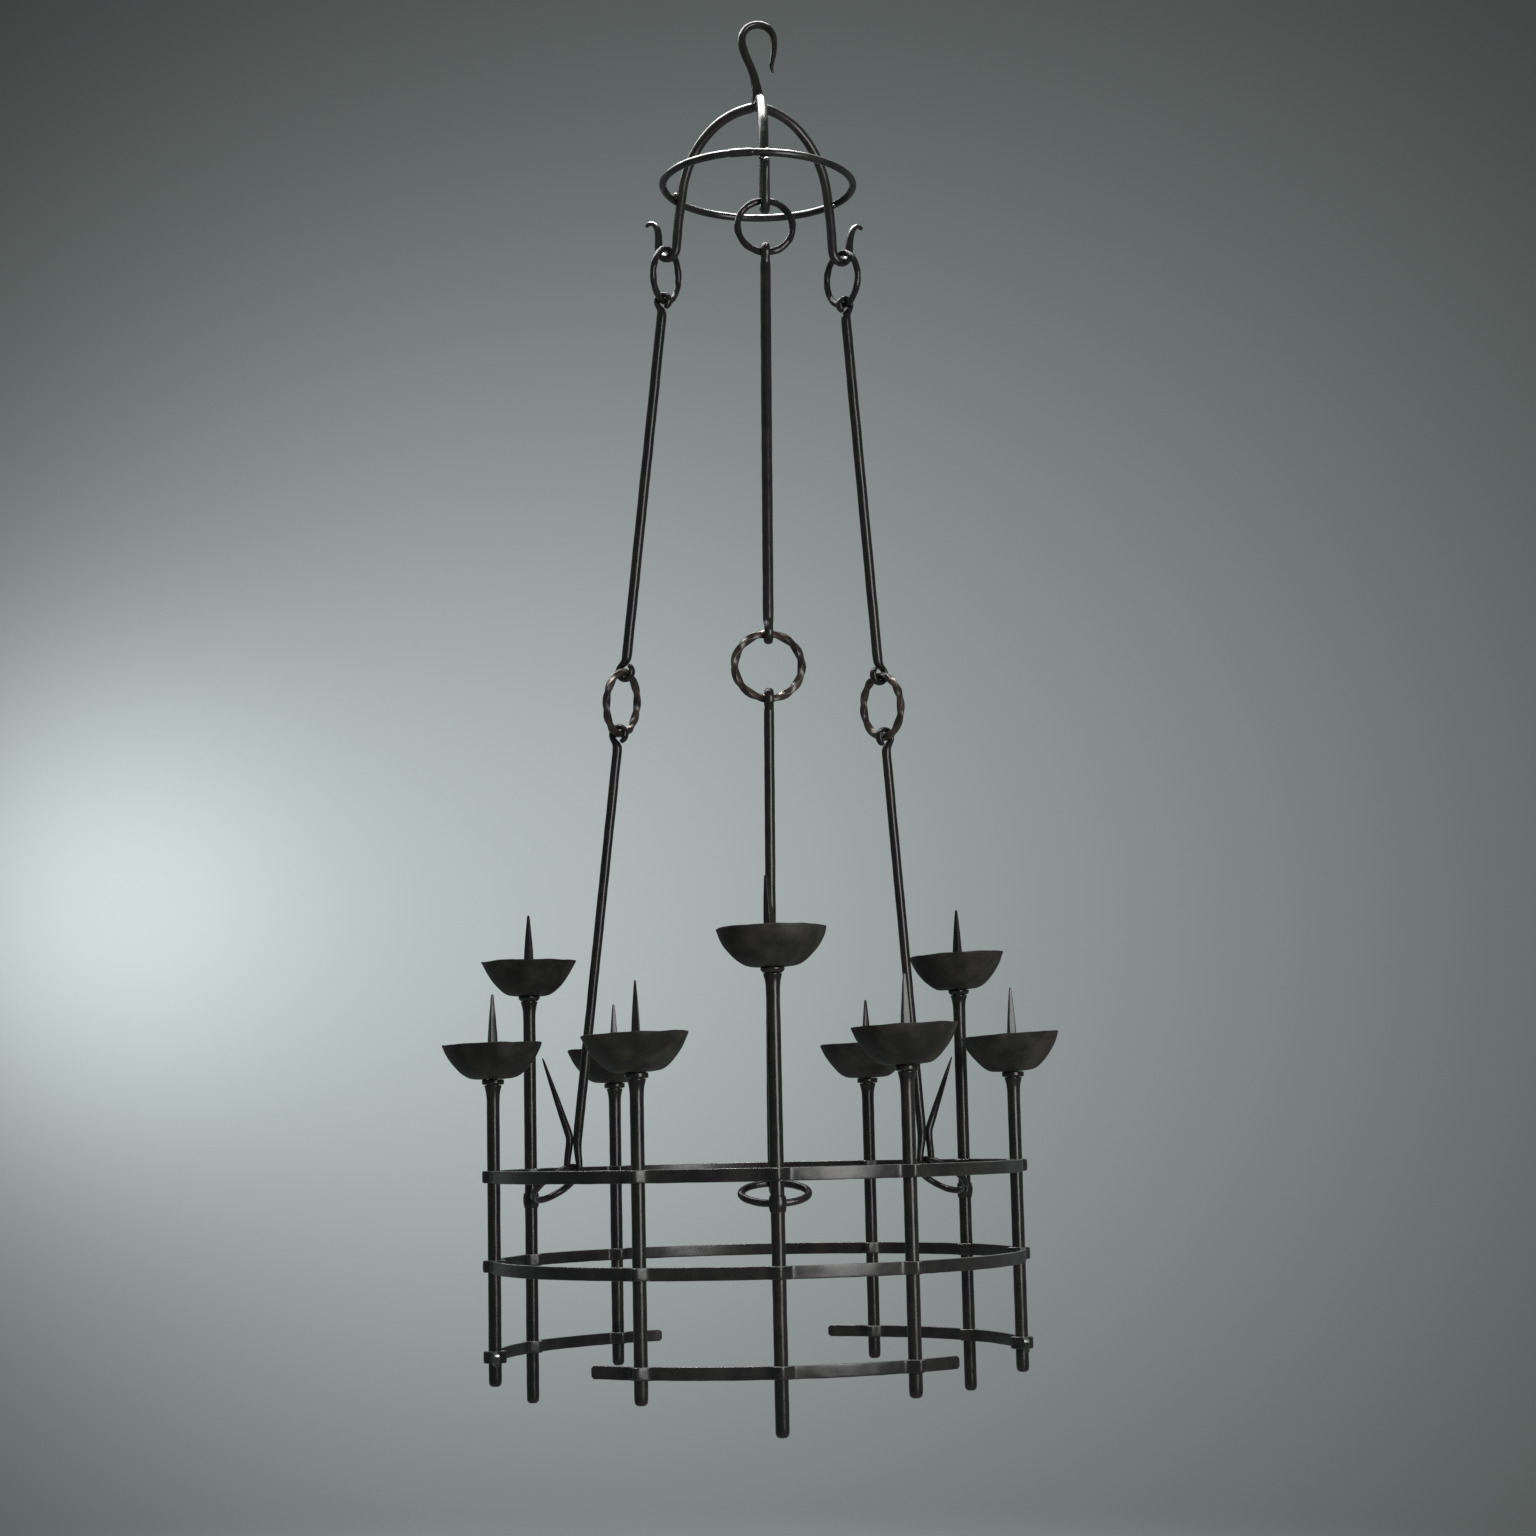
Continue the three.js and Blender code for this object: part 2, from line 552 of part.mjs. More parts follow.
for (const { name, azimuth, loopSeat } of GROUPS) {
  addPiece(spoke(chandelier, azimuth), `crown_arm_${name}`, crownArm(), WORN_IRON);
  const basketSpoke = spoke(basket, azimuth);
  addPiece(basketSpoke, `basket_loop_${name}`, basketLoop(loopSeat), IRON);
  const band = addPiece(basketSpoke, `lower_band_${name}`, lowerBand(), WORN_IRON);
  band.position.z = -LOWER_BAND_DROP;

  // The chain hangs from the arm's hook to the loop, and each lower rod is as long as that needs.
  chandelier.updateMatrixWorld(true);
  const seat = basketSpoke.localToWorld(inPlane(LOOP_SEAT_RADIUS, loopSeat));
  const out = Math.hypot(seat.x, seat.y) - CROWN_HOOK_RADIUS;
  const down = -CROWN_HOOK_DROP - seat.z;
  const reach = Math.hypot(out, down);
  const lean = Math.atan2(out, down) - Math.asin(END_HOOK_OFFSET / reach);
  const seatDistance = Math.sqrt(reach ** 2 - END_HOOK_OFFSET ** 2);
  const chain = new THREE.Group();
  chain.position.set(CROWN_HOOK_RADIUS, 0, -CROWN_HOOK_DROP);
  chain.rotation.y = -lean;
  spoke(chandelier, azimuth).add(chain);
  const upperLink = ringBar(UPPER_LINK_RADIUS, UPPER_LINK_BAR, LINK_STEPS, LINK_SIDES, ALONG_Y, ALONG_Z);
  addPiece(chain, `upper_link_${name}`, upperLink, IRON).position.z = -upperLinkMiddle;
  addPiece(chain, `upper_rod_${name}`, upperRod(), IRON);
  addPiece(chain, `middle_link_${name}`, twistedLink(), RED_IRON).position.z = -middleLinkMiddle;
  addPiece(chain, `lower_rod_${name}`, lowerRod(seatDistance), IRON);

  // Where the pieces turn, for whoever moves them: the chain swivels on the line from its crown hook
  // to the basket's own axis, so that its foot keeps to the loop as the basket turns.
  chandelier.updateMatrixWorld(true);
  const swivel = chain.localToWorld(new THREE.Vector3());
  const basketPoint = new THREE.Vector3(0, 0, seat.z);
  pivots[name] = {
    swivel,
    swivelAxis: swivel.clone().sub(basketPoint).normalize(),
    linkAxis: ALONG_X.clone().transformDirection(chain.matrixWorld),
    upperLinkMiddle: chain.localToWorld(inPlane(0, -upperLinkMiddle)),
    middleLinkMiddle: chain.localToWorld(inPlane(0, -middleLinkMiddle)),
    lowerRodPivot: chain.localToWorld(inPlane(0, -(middleLinkMiddle + MIDDLE_LINK_RADIUS))),
    seat,
  };
}

const groupAngles = [-POST_SPREAD, 0, POST_SPREAD];
const postAngles = GROUPS.flatMap(({ azimuth }) => groupAngles.map((k) => azimuth + k - 90));
addPiece(basket, 'upper_hoop', hoop(postAngles), WORN_IRON);
addPiece(basket, 'middle_hoop', hoop(postAngles), WORN_IRON).position.z = -MIDDLE_HOOP_DROP;

const postNames = {
  front: ['front_left', 'front', 'front_right'],
  right: ['right_front', 'right', 'right_rear'],
  left: ['left_rear', 'left', 'left_front'],
};
for (const { name, azimuth } of GROUPS) {
  postNames[name].forEach((postName, k) => {
    const tall = k === 1;
    const shoulder = tall ? TALL_SHOULDER : SHORT_SHOULDER;
    const stand = spoke(basket, azimuth + (k - 1) * POST_SPREAD);
    addPiece(stand, `post_${postName}`, post(shoulder, tall ? TALL_FOOT : SHORT_FOOT), IRON);
    addPiece(stand, `collar_${postName}`, collar(shoulder), IRON);
    addPiece(stand, `drip_cup_${postName}`, cup(shoulder), CUP_IRON);
    stand.children.forEach((piece) => { piece.position.x = POST_CIRCLE; });
  });
}

chandelier.userData.pivots = pivots;

export default chandelier;
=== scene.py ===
# %% [markdown]
# # A forged iron chandelier
# The real one hangs from a hook and holds nine candles. A smith made it from plain bar: round bar for
# the crown, rods and posts, flat bar for the hoops, and sheet for the cups. Each lesson below makes one
# kind of piece the way it could be made at the anvil: a bar is drawn out, bent, punched or twisted.
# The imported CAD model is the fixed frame, and every piece here sits where its CAD node does.

# %% Load the frame
import json
import math

import bpy
from mathutils import Matrix, Vector


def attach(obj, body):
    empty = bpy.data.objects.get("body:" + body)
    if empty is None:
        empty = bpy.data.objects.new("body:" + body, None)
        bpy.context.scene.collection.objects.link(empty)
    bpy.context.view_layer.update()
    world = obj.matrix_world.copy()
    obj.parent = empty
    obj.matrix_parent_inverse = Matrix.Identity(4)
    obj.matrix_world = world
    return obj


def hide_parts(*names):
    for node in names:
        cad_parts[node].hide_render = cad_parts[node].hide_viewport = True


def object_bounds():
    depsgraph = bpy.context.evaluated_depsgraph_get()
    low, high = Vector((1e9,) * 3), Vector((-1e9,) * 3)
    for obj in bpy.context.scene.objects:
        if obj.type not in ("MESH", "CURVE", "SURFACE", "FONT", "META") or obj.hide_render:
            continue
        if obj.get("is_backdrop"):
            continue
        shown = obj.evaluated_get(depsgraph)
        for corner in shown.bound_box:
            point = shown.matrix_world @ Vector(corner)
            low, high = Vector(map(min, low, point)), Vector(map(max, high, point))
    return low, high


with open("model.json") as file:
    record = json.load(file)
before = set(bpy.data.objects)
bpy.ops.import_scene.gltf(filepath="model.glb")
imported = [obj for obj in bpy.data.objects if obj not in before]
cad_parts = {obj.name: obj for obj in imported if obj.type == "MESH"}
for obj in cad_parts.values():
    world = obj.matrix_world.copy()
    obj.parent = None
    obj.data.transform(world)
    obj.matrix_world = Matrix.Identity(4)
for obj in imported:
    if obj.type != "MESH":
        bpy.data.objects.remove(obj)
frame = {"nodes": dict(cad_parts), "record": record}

cad_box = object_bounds()
MM = 0.001
print("CAD box in mm:", [round(v / MM) for corner in cad_box for v in corner])

# %% [markdown]
# ## The layout
# Three spokes, 120 degrees apart, carry one chain and three posts each. The basket hangs a little lower
# on the left, because the smith's chains are not quite equal. The chains' places are read from the
# joints in the record, so that a link made here turns about the point that it turns about in the model.
# Sizes are written in mm and angles in degrees, and `MM` turns a size into Blender's metres.

# %% Where things are
SPOKES = {"front": 0, "right": 120, "left": -120}
POST_SPREAD = 28.4
HOOP_RADIUS = 268
POST_CIRCLE = HOOP_RADIUS * MM
BASKET_DROP, BASKET_TILT = 1221.5, 1.25
WELD_GAP = 0.3
POST_NAMES = {
    "front": ("front_left", "front", "front_right"),
    "right": ("right_front", "right", "right_rear"),
    "left": ("left_rear", "left", "left_front"),
}
joints = {joint["name"]: joint for joint in frame["record"]["behaviour"]["joints"]}


def spoke(azimuth):
    """Turns +X to point outwards at an azimuth, counted from the front and positive to the right."""
    return Matrix.Rotation(math.radians(azimuth - 90), 4, "Z")


basket = Matrix.Translation((0, 0, -BASKET_DROP * MM)) @ Matrix.Rotation(math.radians(-BASKET_TILT), 4, "Y")

# %% The chains' own frames, upright, with the crown hook at the top
UPPER_LINK_DROP = 19.2 * MM
MIDDLE_LINK_DROP = 489.1 * MM


def chain_frame(name):
    """A matrix that carries an upright chain, hung from its origin, to its place."""
    upper = Vector(joints["upper_link_spin_" + name]["pos_m"])
    middle = Vector(joints["middle_link_spin_" + name]["pos_m"])
    out = Vector(joints["upper_link_spin_" + name]["axis"]).normalized()
    up = (upper - middle).normalized()
    across = up.cross(out).normalized()
    turn = Matrix((out, across, up)).transposed().to_4x4()
    return Matrix.Translation(upper + up * UPPER_LINK_DROP) @ turn


chains = {name: chain_frame(name) for name in SPOKES}
LOOP_SEAT_RADIUS = 216
SEAT_HEIGHTS = {"front": -9, "right": 7, "left": 7}
LOOP_SEATS = {name: Vector((LOOP_SEAT_RADIUS, 0, height)) * MM for name, height in SEAT_HEIGHTS.items()}
hung_seats = {}
for name, azimuth in SPOKES.items():
    hung_seats[name] = chains[name].inverted() @ (basket @ spoke(azimuth) @ LOOP_SEATS[name])
    print(name, "loop seat in its chain's frame, mm:", [round(v / MM, 1) for v in hung_seats[name]])

# %% [markdown]
# ## Drawing out a bar
# Nearly every piece is a bar that changes its thickness and its direction along the way. By hand this is
# one end face, extruded a step at a time, turned and scaled after each step. `draw_bar` does those same
# three steps for each point of a flat path. A subdivision surface then rounds the few sections off. It
# also pulls a coarse ring inwards, so the sections and bends are made that much larger first.

# %% Small helpers for objects
def select_only(*pieces):
    bpy.ops.object.select_all(action="DESELECT")
    for piece in pieces:
        piece.select_set(True)
    bpy.context.view_layer.objects.active = pieces[-1]


def new_primitive(add, **settings):
    bpy.ops.object.select_all(action="DESELECT")
    add(**settings)
    return bpy.context.object


def apply_place(piece, matrix=Matrix()):
    """Moves a piece by a matrix and puts its place into its mesh."""
    piece.matrix_world = matrix @ piece.matrix_world
    select_only(piece)
    bpy.ops.object.transform_apply(location=True, rotation=True, scale=True)
    return piece


def copy_to(piece, name, matrix):
    select_only(piece)
    bpy.ops.object.duplicate(linked=False)
    copied = bpy.context.object
    copied.name = name
    return apply_place(copied, matrix)


def add_modifier(piece, kind, **settings):
    """Adds a modifier and applies it, as pressing Apply does."""
    modifier = piece.modifiers.new(kind.lower(), kind)
    for key, value in settings.items():
        setattr(modifier, key, value)
    select_only(piece)
    bpy.ops.object.modifier_apply(modifier=modifier.name)
    return piece


# %% Points along a path
def pull(step_degrees):
    """How far a subdivision surface pulls a ring of such steps inwards, as a share of its radius."""
    return (4 + 2 * math.cos(math.radians(step_degrees))) / 6


def arc(centre, radius, start, end, count):
    """Points in the XZ plane round a centre, made larger by what the subdivision takes away."""
    step = (end - start) / (count - 1)
    reach = radius / pull(step)
    turns = [math.radians(start + step * k) for k in range(count)]
    return [(centre[0] + reach * math.cos(t), centre[1] + reach * math.sin(t)) for t in turns]


def heading(path, i, closed):
    """The direction of the path at a point, as a turn about Y from straight up."""
    last = len(path) - 1
    if closed and i in (0, last):
        before, after = path[last - 1], path[1]
    else:
        before, after = path[max(i - 1, 0)], path[min(i + 1, last)]
    return math.atan2(after[0] - before[0], after[1] - before[1])


# %% Steps that several kinds of piece share
MERGE = 0.05 * MM
ROUNDING = 2


def turn_about_y(angle, centre):
    """With no window the operator turns the other way, so the angle is given with its sign changed."""
    angle = (angle + math.pi) % (2 * math.pi) - math.pi
    if abs(angle) > 1e-7:
        bpy.ops.transform.rotate(value=-angle, orient_axis="Y", center_override=centre)


def close_up(merge):
    """Merges points that lie within a distance, turns the faces outwards and leaves edit mode."""
    bpy.ops.mesh.select_all(action="SELECT")
    if merge:
        bpy.ops.mesh.remove_doubles(threshold=merge)
    bpy.ops.mesh.normals_make_consistent(inside=False)
    bpy.ops.object.mode_set(mode="OBJECT")


def round_off(piece):
    return add_modifier(piece, "SUBSURF", levels=ROUNDING, render_levels=ROUNDING)


# %% A bar drawn along a path
BAR_SIDES = 12


def start_section(corner, closed):
    """A unit section, round or square with broken corners, in edit mode and selected."""
    if corner:
        section = new_primitive(bpy.ops.mesh.primitive_plane_add, size=1, enter_editmode=True)
        bpy.ops.mesh.bevel(offset=corner, segments=2, affect="VERTICES")
        if closed:
            bpy.ops.mesh.delete(type="ONLY_FACE")
            bpy.ops.mesh.select_all(action="SELECT")
    else:
        fill = "NOTHING" if closed else "NGON"
        section = new_primitive(bpy.ops.mesh.primitive_circle_add, vertices=BAR_SIDES, fill_type=fill,
                                radius=0.5 / pull(360 / BAR_SIDES), enter_editmode=True)
    return section


def draw_bar(name, path, widths, depths=None, corner=0, closed=False):
    """Extrudes a section along a path of (x, z) points, in mm. Widths lie in the path's plane and depths
    across it. A closed path ends on its first point. A corner makes the section square, with its corners
    broken by that share of its side."""
    depths = depths or widths
    bar = start_section(corner, closed)
    bar.name = name
    turned = heading(path, 0, closed)
    at = Vector((path[0][0], 0, path[0][1])) * MM
    bpy.ops.transform.resize(value=(widths[0] * MM, depths[0] * MM, 1), center_override=(0, 0, 0))
    turn_about_y(turned, (0, 0, 0))
    bpy.ops.transform.translate(value=at)
    for i in range(1, len(path)):
        here = Vector((path[i][0], 0, path[i][1])) * MM
        bpy.ops.mesh.extrude_region_move(TRANSFORM_OT_translate={"value": here - at})
        now = heading(path, i, closed)
        turn_about_y(now - turned, here)
        wider, deeper = widths[i] / widths[i - 1], depths[i] / depths[i - 1]
        if abs(wider - 1) > 1e-6 or abs(deeper - 1) > 1e-6:
            bpy.ops.transform.resize(value=(wider, deeper, wider), center_override=here)
        at, turned = here, now
    close_up(MERGE if closed else 0)
    return round_off(bar)


# %% [markdown]
# ## Turning a profile
# Posts, collars and cups are round about an upright axis. On a real one the cup is raised from a disc of
# sheet and the collar is upset on the bar. Here a circle is extruded upwards and scaled at each step,
# which gives a clean ring of faces at each height that the hammer marks can be put on afterwards.

# %% Round pieces from a profile
def raise_profile(name, profile, sides, closed=False):
    """Extrudes a circle through (radius, height) pairs, in mm, and leaves it to be rounded off. A closed
    profile ends where it began."""
    fill = "NOTHING" if closed else "NGON"
    grow = 1 / pull(360 / sides)
    radius, height = profile[0]
    piece = new_primitive(bpy.ops.mesh.primitive_circle_add, vertices=sides, fill_type=fill,
                          radius=radius * grow * MM, location=(0, 0, height * MM), enter_editmode=True)
    piece.name = name
    for wider, higher in profile[1:]:
        lift = Vector((0, 0, (higher - height) * MM))
        bpy.ops.mesh.extrude_region_move(TRANSFORM_OT_translate={"value": lift})
        scale = wider / radius
        bpy.ops.transform.resize(value=(scale, scale, 1), center_override=(0, 0, higher * MM))
        radius, height = wider, higher
    close_up(MERGE if closed else 0)
    return apply_place(piece)


# %% [markdown]
# ## Hammer marks
# Nothing on the real chandelier is quite straight or round: each bar was dressed with a hand hammer. A
# Displace modifier with a cloud texture pushes the surface in and out by a fraction of a millimetre. It
# reads the mesh's own place, so two copies of a piece are never marked alike.

# %% Dressing with the hammer
hammers = {}


def hammer(piece, depth, size):
    """Marks a piece by a depth, with marks of a size, both in mm."""
    if size not in hammers:
        hammers[size] = bpy.data.textures.new("hammer_%d" % size, "CLOUDS")
        hammers[size].noise_scale = size * MM
        hammers[size].noise_depth = 1
    add_modifier(piece, "DISPLACE", texture=hammers[size], texture_coords="LOCAL", strength=depth * MM,
                 mid_level=0.5)


# %% [markdown]
# ## The shader workshop
# Forged iron is nearly black and waxed to a soft satin. Where its edges stand proud and in patches it is
# rubbed to a pale grey, which is wear, and faces that look up are painted the same pale grey, a painted
# highlight of the light from above. All of that is worked out from the piece's own coordinates with noise,
# so it stays put on the iron in every view. The class below lets a mask be written as plain arithmetic.

# %% Sockets that can be added and multiplied
class Shade:
    """A value in a material that can be added, multiplied and mixed like a number."""

    def __init__(self, finish, socket):
        self.finish = finish
        self.socket = socket

    def maths(self, operation, *values):
        return self.finish.node("ShaderNodeMath", "Value", {"operation": operation}, *values)

    def __add__(self, other): return self.maths("ADD", self, other)
    def __radd__(self, other): return self.maths("ADD", other, self)
    def __sub__(self, other): return self.maths("SUBTRACT", self, other)
    def __rsub__(self, other): return self.maths("SUBTRACT", other, self)
    def __mul__(self, other): return self.maths("MULTIPLY", self, other)
    def __rmul__(self, other): return self.maths("MULTIPLY", other, self)
    def __pow__(self, other): return self.maths("POWER", self, other)

    def between(self, low, high):
        """0 at low, 1 at high, smooth between."""
        settings = {"interpolation_type": "SMOOTHSTEP", "clamp": True}
        return self.finish.node("ShaderNodeMapRange", "Result", settings, self, low, high, 0, 1)


# %% A finish, with one method for every other node
class Finish:
    """A material made of named nodes, with its shader's fixed numbers set on the shader itself."""

    def __init__(self, name, **fixed):
        self.material = bpy.data.materials.new(name)
        self.material.use_nodes = True
        self.tree = self.material.node_tree
        self.shader = self.tree.nodes["Principled BSDF"]
        for key, value in fixed.items():
            self.shader.inputs[key.replace("_", " ")].default_value = value

    def put(self, socket, value):
        if isinstance(value, Shade):
            self.tree.links.new(value.socket, socket)
        else:
            socket.default_value = value

    def node(self, kind, output, settings=None, *values, **named):
        """Adds a node, with its inputs given in order or by name, and gives the output asked for."""
        added = self.tree.nodes.new(kind)
        for key, value in (settings or {}).items():
            setattr(added, key, value)
        for socket, value in zip(added.inputs, values):
            self.put(socket, value)
        for key, value in named.items():
            self.put(added.inputs[key.replace("_", " ")], value)
        return Shade(self, added.outputs[output])

    def mix(self, share, low, high):
        """A colour between two, by a share. A Mix node has inputs for each kind of value it can mix, so
        those for colours, and its output, are picked by number."""
        added = self.tree.nodes.new("ShaderNodeMix")
        added.data_type = "RGBA"
        for number, value in ((0, share), (6, low), (7, high)):
            self.put(added.inputs[number], value)
        return Shade(self, added.outputs[2])

    def feed(self, **inputs):
        for key, value in inputs.items():
            self.put(self.shader.inputs[key.replace("_", " ")], value)
        return self.material


# %% [markdown]
# ## Forged iron
# One recipe makes all four finishes. Broad clouds vary the tone, and small ones make the scale and pits
# left by the fire. Proud edges and patches are rubbed paler, which is wear, and the upper faces are painted
# paler as well, a painted highlight of the light from above. What differs is how warm the iron is, how much
# is rubbed and painted pale, and how shiny and pitted it is.

# %% The iron recipe
DENT_SIZE = 9
PIT_DEPTH = 0.6


def noise(finish, place, size, detail=3.0, roughness=0.55):
    """Clouds of about a size in mm."""
    return finish.node("ShaderNodeTexNoise", "Fac", {"noise_dimensions": "3D"}, Vector=place,
                       Scale=1000 / size, Detail=detail, Roughness=roughness)


def opaque(colour):
    return (*colour, 1)


def iron(name, dark, warm, worn_and_sheen_colour, wear_and_sheen_share, gloss, pits, glint, sheen_side):
    """Forged iron: its dark and warm colours, the pale colour of its wear and of its painted highlight, the
    share of it that is worn and painted pale, its gloss, the depth of its pits and its glint, the strength
    of its reflection. The last pair says how far a face must look up before it is painted pale a little,
    and fully, as a painted highlight of the light from above."""
    finish = Finish(name, IOR=1.5, Specular_IOR_Level=glint)
    place = finish.node("ShaderNodeTexCoord", "Object")
    facing = finish.node("ShaderNodeTexCoord", "Normal")
    top_sheen = finish.node("ShaderNodeSeparateXYZ", "Z", None, facing).between(*sheen_side)
    proud = finish.node("ShaderNodeNewGeometry", "Pointiness").between(0.52, 0.62)
    broad = noise(finish, place, 60, detail=2.0)
    patches = noise(finish, place, 16)
    scale = noise(finish, place, 4.5, roughness=0.6)
    # Pale where edges stand proud and in patches, which is wear, and on faces that look up, which is a
    # painted highlight of the light from above.
    worn_and_sheen = ((top_sheen * 0.7 + proud * 0.9 + patches * 0.8 - 0.3) * wear_and_sheen_share).between(0.30, 1.0)
    worn_and_sheen = worn_and_sheen * (0.75 + 0.25 * scale.between(0.40, 0.60))
    tone = (broad * 0.55 + patches * 0.45).between(0.38, 0.64)
    colour = finish.mix(tone, opaque(dark), opaque(warm))
    scale_colour = opaque(value * 0.5 for value in dark)
    colour = finish.mix(scale.between(0.60, 0.76) * 0.35, colour, scale_colour)
    colour = finish.mix(worn_and_sheen, colour, opaque(worn_and_sheen_colour))
    rough = 1 - gloss + (scale - 0.5) * 0.14 + (patches - 0.5) * 0.14 - worn_and_sheen * 0.06
    dents = finish.node("ShaderNodeTexVoronoi", "Distance", {"feature": "SMOOTH_F1"}, Vector=place,
                        Scale=1000 / DENT_SIZE, Smoothness=0.8)
    height = dents * 0.7 + patches * 0.5 + scale * 0.14
    bump = finish.node("ShaderNodeBump", "Normal", None, Strength=0.22 * pits, Distance=PIT_DEPTH * MM,
                       Height=height)
    return finish.feed(Base_Color=colour, Roughness=rough, Metallic=0.2 + worn_and_sheen * 0.65, Normal=bump)


# %% The four finishes
# In each finish the last pair says where a face that looks up starts to get the painted highlight from
# above, and where that highlight is full.
IRONS = {
    "forged_iron": iron(
        "forged iron",
        dark=(0.0075, 0.0073, 0.0072), warm=(0.0165, 0.0143, 0.0132), worn_and_sheen_colour=(0.17, 0.16, 0.15),
        wear_and_sheen_share=0.55, gloss=0.76, pits=0.65, glint=0.30, sheen_side=(0.45, 1.0)),
    "worn_iron": iron(
        "worn iron",
        dark=(0.0100, 0.0098, 0.0096), warm=(0.022, 0.0205, 0.019), worn_and_sheen_colour=(0.46, 0.455, 0.44),
        wear_and_sheen_share=1.05, gloss=0.72, pits=0.45, glint=0.32, sheen_side=(0.05, 0.7)),
    "reddish_iron": iron(
        "reddish iron",
        dark=(0.013, 0.0108, 0.0098), warm=(0.056, 0.038, 0.031), worn_and_sheen_colour=(0.36, 0.31, 0.27),
        wear_and_sheen_share=1.0, gloss=0.68, pits=1.0, glint=0.36, sheen_side=(0.2, 0.9)),
    "cup_iron": iron(
        "cup iron",
        dark=(0.0108, 0.0103, 0.0092), warm=(0.034, 0.0310, 0.0258), worn_and_sheen_colour=(0.13, 0.12, 0.105),
        wear_and_sheen_share=0.45, gloss=0.46, pits=1.2, glint=0.16, sheen_side=(0.45, 1.0)),
}
print("finishes:", sorted(IRONS))

# %% [markdown]
# ## Handing a piece over
# Each finished piece stands for one node of the CAD model, rides on the same body as that node, and
# takes the node's slot of finish from the record. So all of this can be looked up from the node's name.

# %% Finishing a piece
bodies = frame["record"]["behaviour"]["bodies"]
body_of_node = {node: body for body, nodes in bodies.items() for node in nodes}
slot_of_node = {part["node"]: part["material_slot"] for part in frame["record"]["subparts"]}
made = []


def hand_over(piece, node, smooth_angle=50):
    """Names, shades, finishes and mounts a piece that stands for a node."""
    piece.name = node + "_forged"
    piece.data.name = piece.name
    select_only(piece)
    bpy.ops.object.shade_smooth_by_angle(angle=math.radians(smooth_angle))
    piece.data.materials.clear()
    piece.data.materials.append(IRONS[slot_of_node[node]])
    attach(piece, body_of_node[node])
    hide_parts(node)
    made.append(piece)


# %% [markdown]
# ## The top hook
# A bar drawn to a taper and bent round a horn, with its thick end left for the weld. The bend is beaten
# a little flat, which stiffens it, and the tip is flicked outwards so that it does not scratch.

# %% Draw the top hook
HOOK_BEND, HOOK_MIDDLE = 17.5, -12.5
path = [(0, -93), (0, -86), (-0.5, -76), (-1.9, -64), (-4.0, -52.5), (-8.8, -40), (-14.2, -29)]
path += arc((0, HOOK_MIDDLE), HOOK_BEND, 192, 12, 9)
path += [(18.0, -23), (15.4, -36), (14.2, -43), (16.6, -49.5)]
widths = [12, 14.4, 13, 10.6, 9, 8.8, 9, 9, 8.6, 8.2, 8, 8, 8, 8, 7.8, 7.4, 6.6, 5.4, 4, 2.4]
depths = [12, 14.4, 13, 10.8, 10, 10, 10.4, 11, 11.8, 12.2, 12.4, 12.2, 11.6, 11, 10, 9, 7.4, 6, 4.4, 2.6]
hook = draw_bar("top_hook", path, widths, depths)
hammer(hook, 0.7, 9)
hand_over(hook, "top_hook")
print("top hook:", len(hook.data.vertices), "vertices")

# %% [markdown]
# ## The crown arms
# Each arm is one bar: its root is laid against the hook's shank and welded, it falls in a dome to the
# ring, drops straight, and ends in a hook for the chain whose tip is drawn thin and curled outwards.

# %% Draw the three arms, each with its own curl
ARM = 10.4
RING, RING_BAR, RING_HEIGHT = 101.8, 8, -176.5
ARM_OUT = RING - RING_BAR / 2 - WELD_GAP - ARM / 2
DOME_START, DOME_RISE = 11.5, 88.5
DOME_ANGLES = (3, 12, 22, 32, 43, 54, 65, 77, 90)
CHAIN_HOOK, CHAIN_HOOK_BEND = (109, -229.8), 10.7
CURL = [(121, -215), (123.8, -203), (129, -196), (135, -195.4), (138.6, -198.6)]
LOW_CURL = [(120.4, -216), (121.2, -206), (126, -199.2), (132.6, -197.8), (136.4, -202)]
CURLS = {"front": CURL, "right": CURL, "left": LOW_CURL}


def crown_arm(curl):
    """An arm from its root, over the dome and down through the ring, to its hook and curl."""
    path = [(2.5, -86), (4.5, -86.6), (8.5, -87.8)]
    for angle in DOME_ANGLES:
        out, up = math.sin(math.radians(angle)), math.cos(math.radians(angle)) ** 1.1
        path.append((DOME_START + (ARM_OUT - DOME_START) * out, RING_HEIGHT + DOME_RISE * up))
    path += [(ARM_OUT + 4.6, -204)] + arc(CHAIN_HOOK, CHAIN_HOOK_BEND, 180, 360, 7) + curl
    # Sizes of the root, the dome and its end, and then of the hook and the curl.
    widths = [6, 9, 10.8] + [10.6, 10.4, 10.2, 10.6, 10.3, 10.5, 10.2, 10.6, 10.4] + [ARM]
    widths += [10.2, 10, 10, 10, 9.8, 9.4, 9] + [8.2, 7.4, 6.4, 5.2, 3.4]
    depths = [7, 10, 11] + [10.2, 10.6, 10.4, 10.2, 10.6, 10.2, 10.5, 10.3, 10.4] + [ARM]
    depths += [10.2, 10.2, 10.4, 10.4, 10, 9.4, 9] + [8.4, 7.8, 7.2, 6.4, 5]
    return draw_bar("crown_arm", path, widths, depths)


for name, azimuth in SPOKES.items():
    piece = apply_place(crown_arm(CURLS[name]), spoke(azimuth))
    hammer(piece, 0.35, 12)
    hand_over(piece, "crown_arm_" + name)
print("arms made:", len(made) - 1)

# %% [markdown]
# ## The crown ring
# A bar bent into a ring and scarf welded: its two ends are thinned, lapped and hammered together, which
# leaves a slightly proud stretch between two seams near the front. Small beads of weld hold the arms.

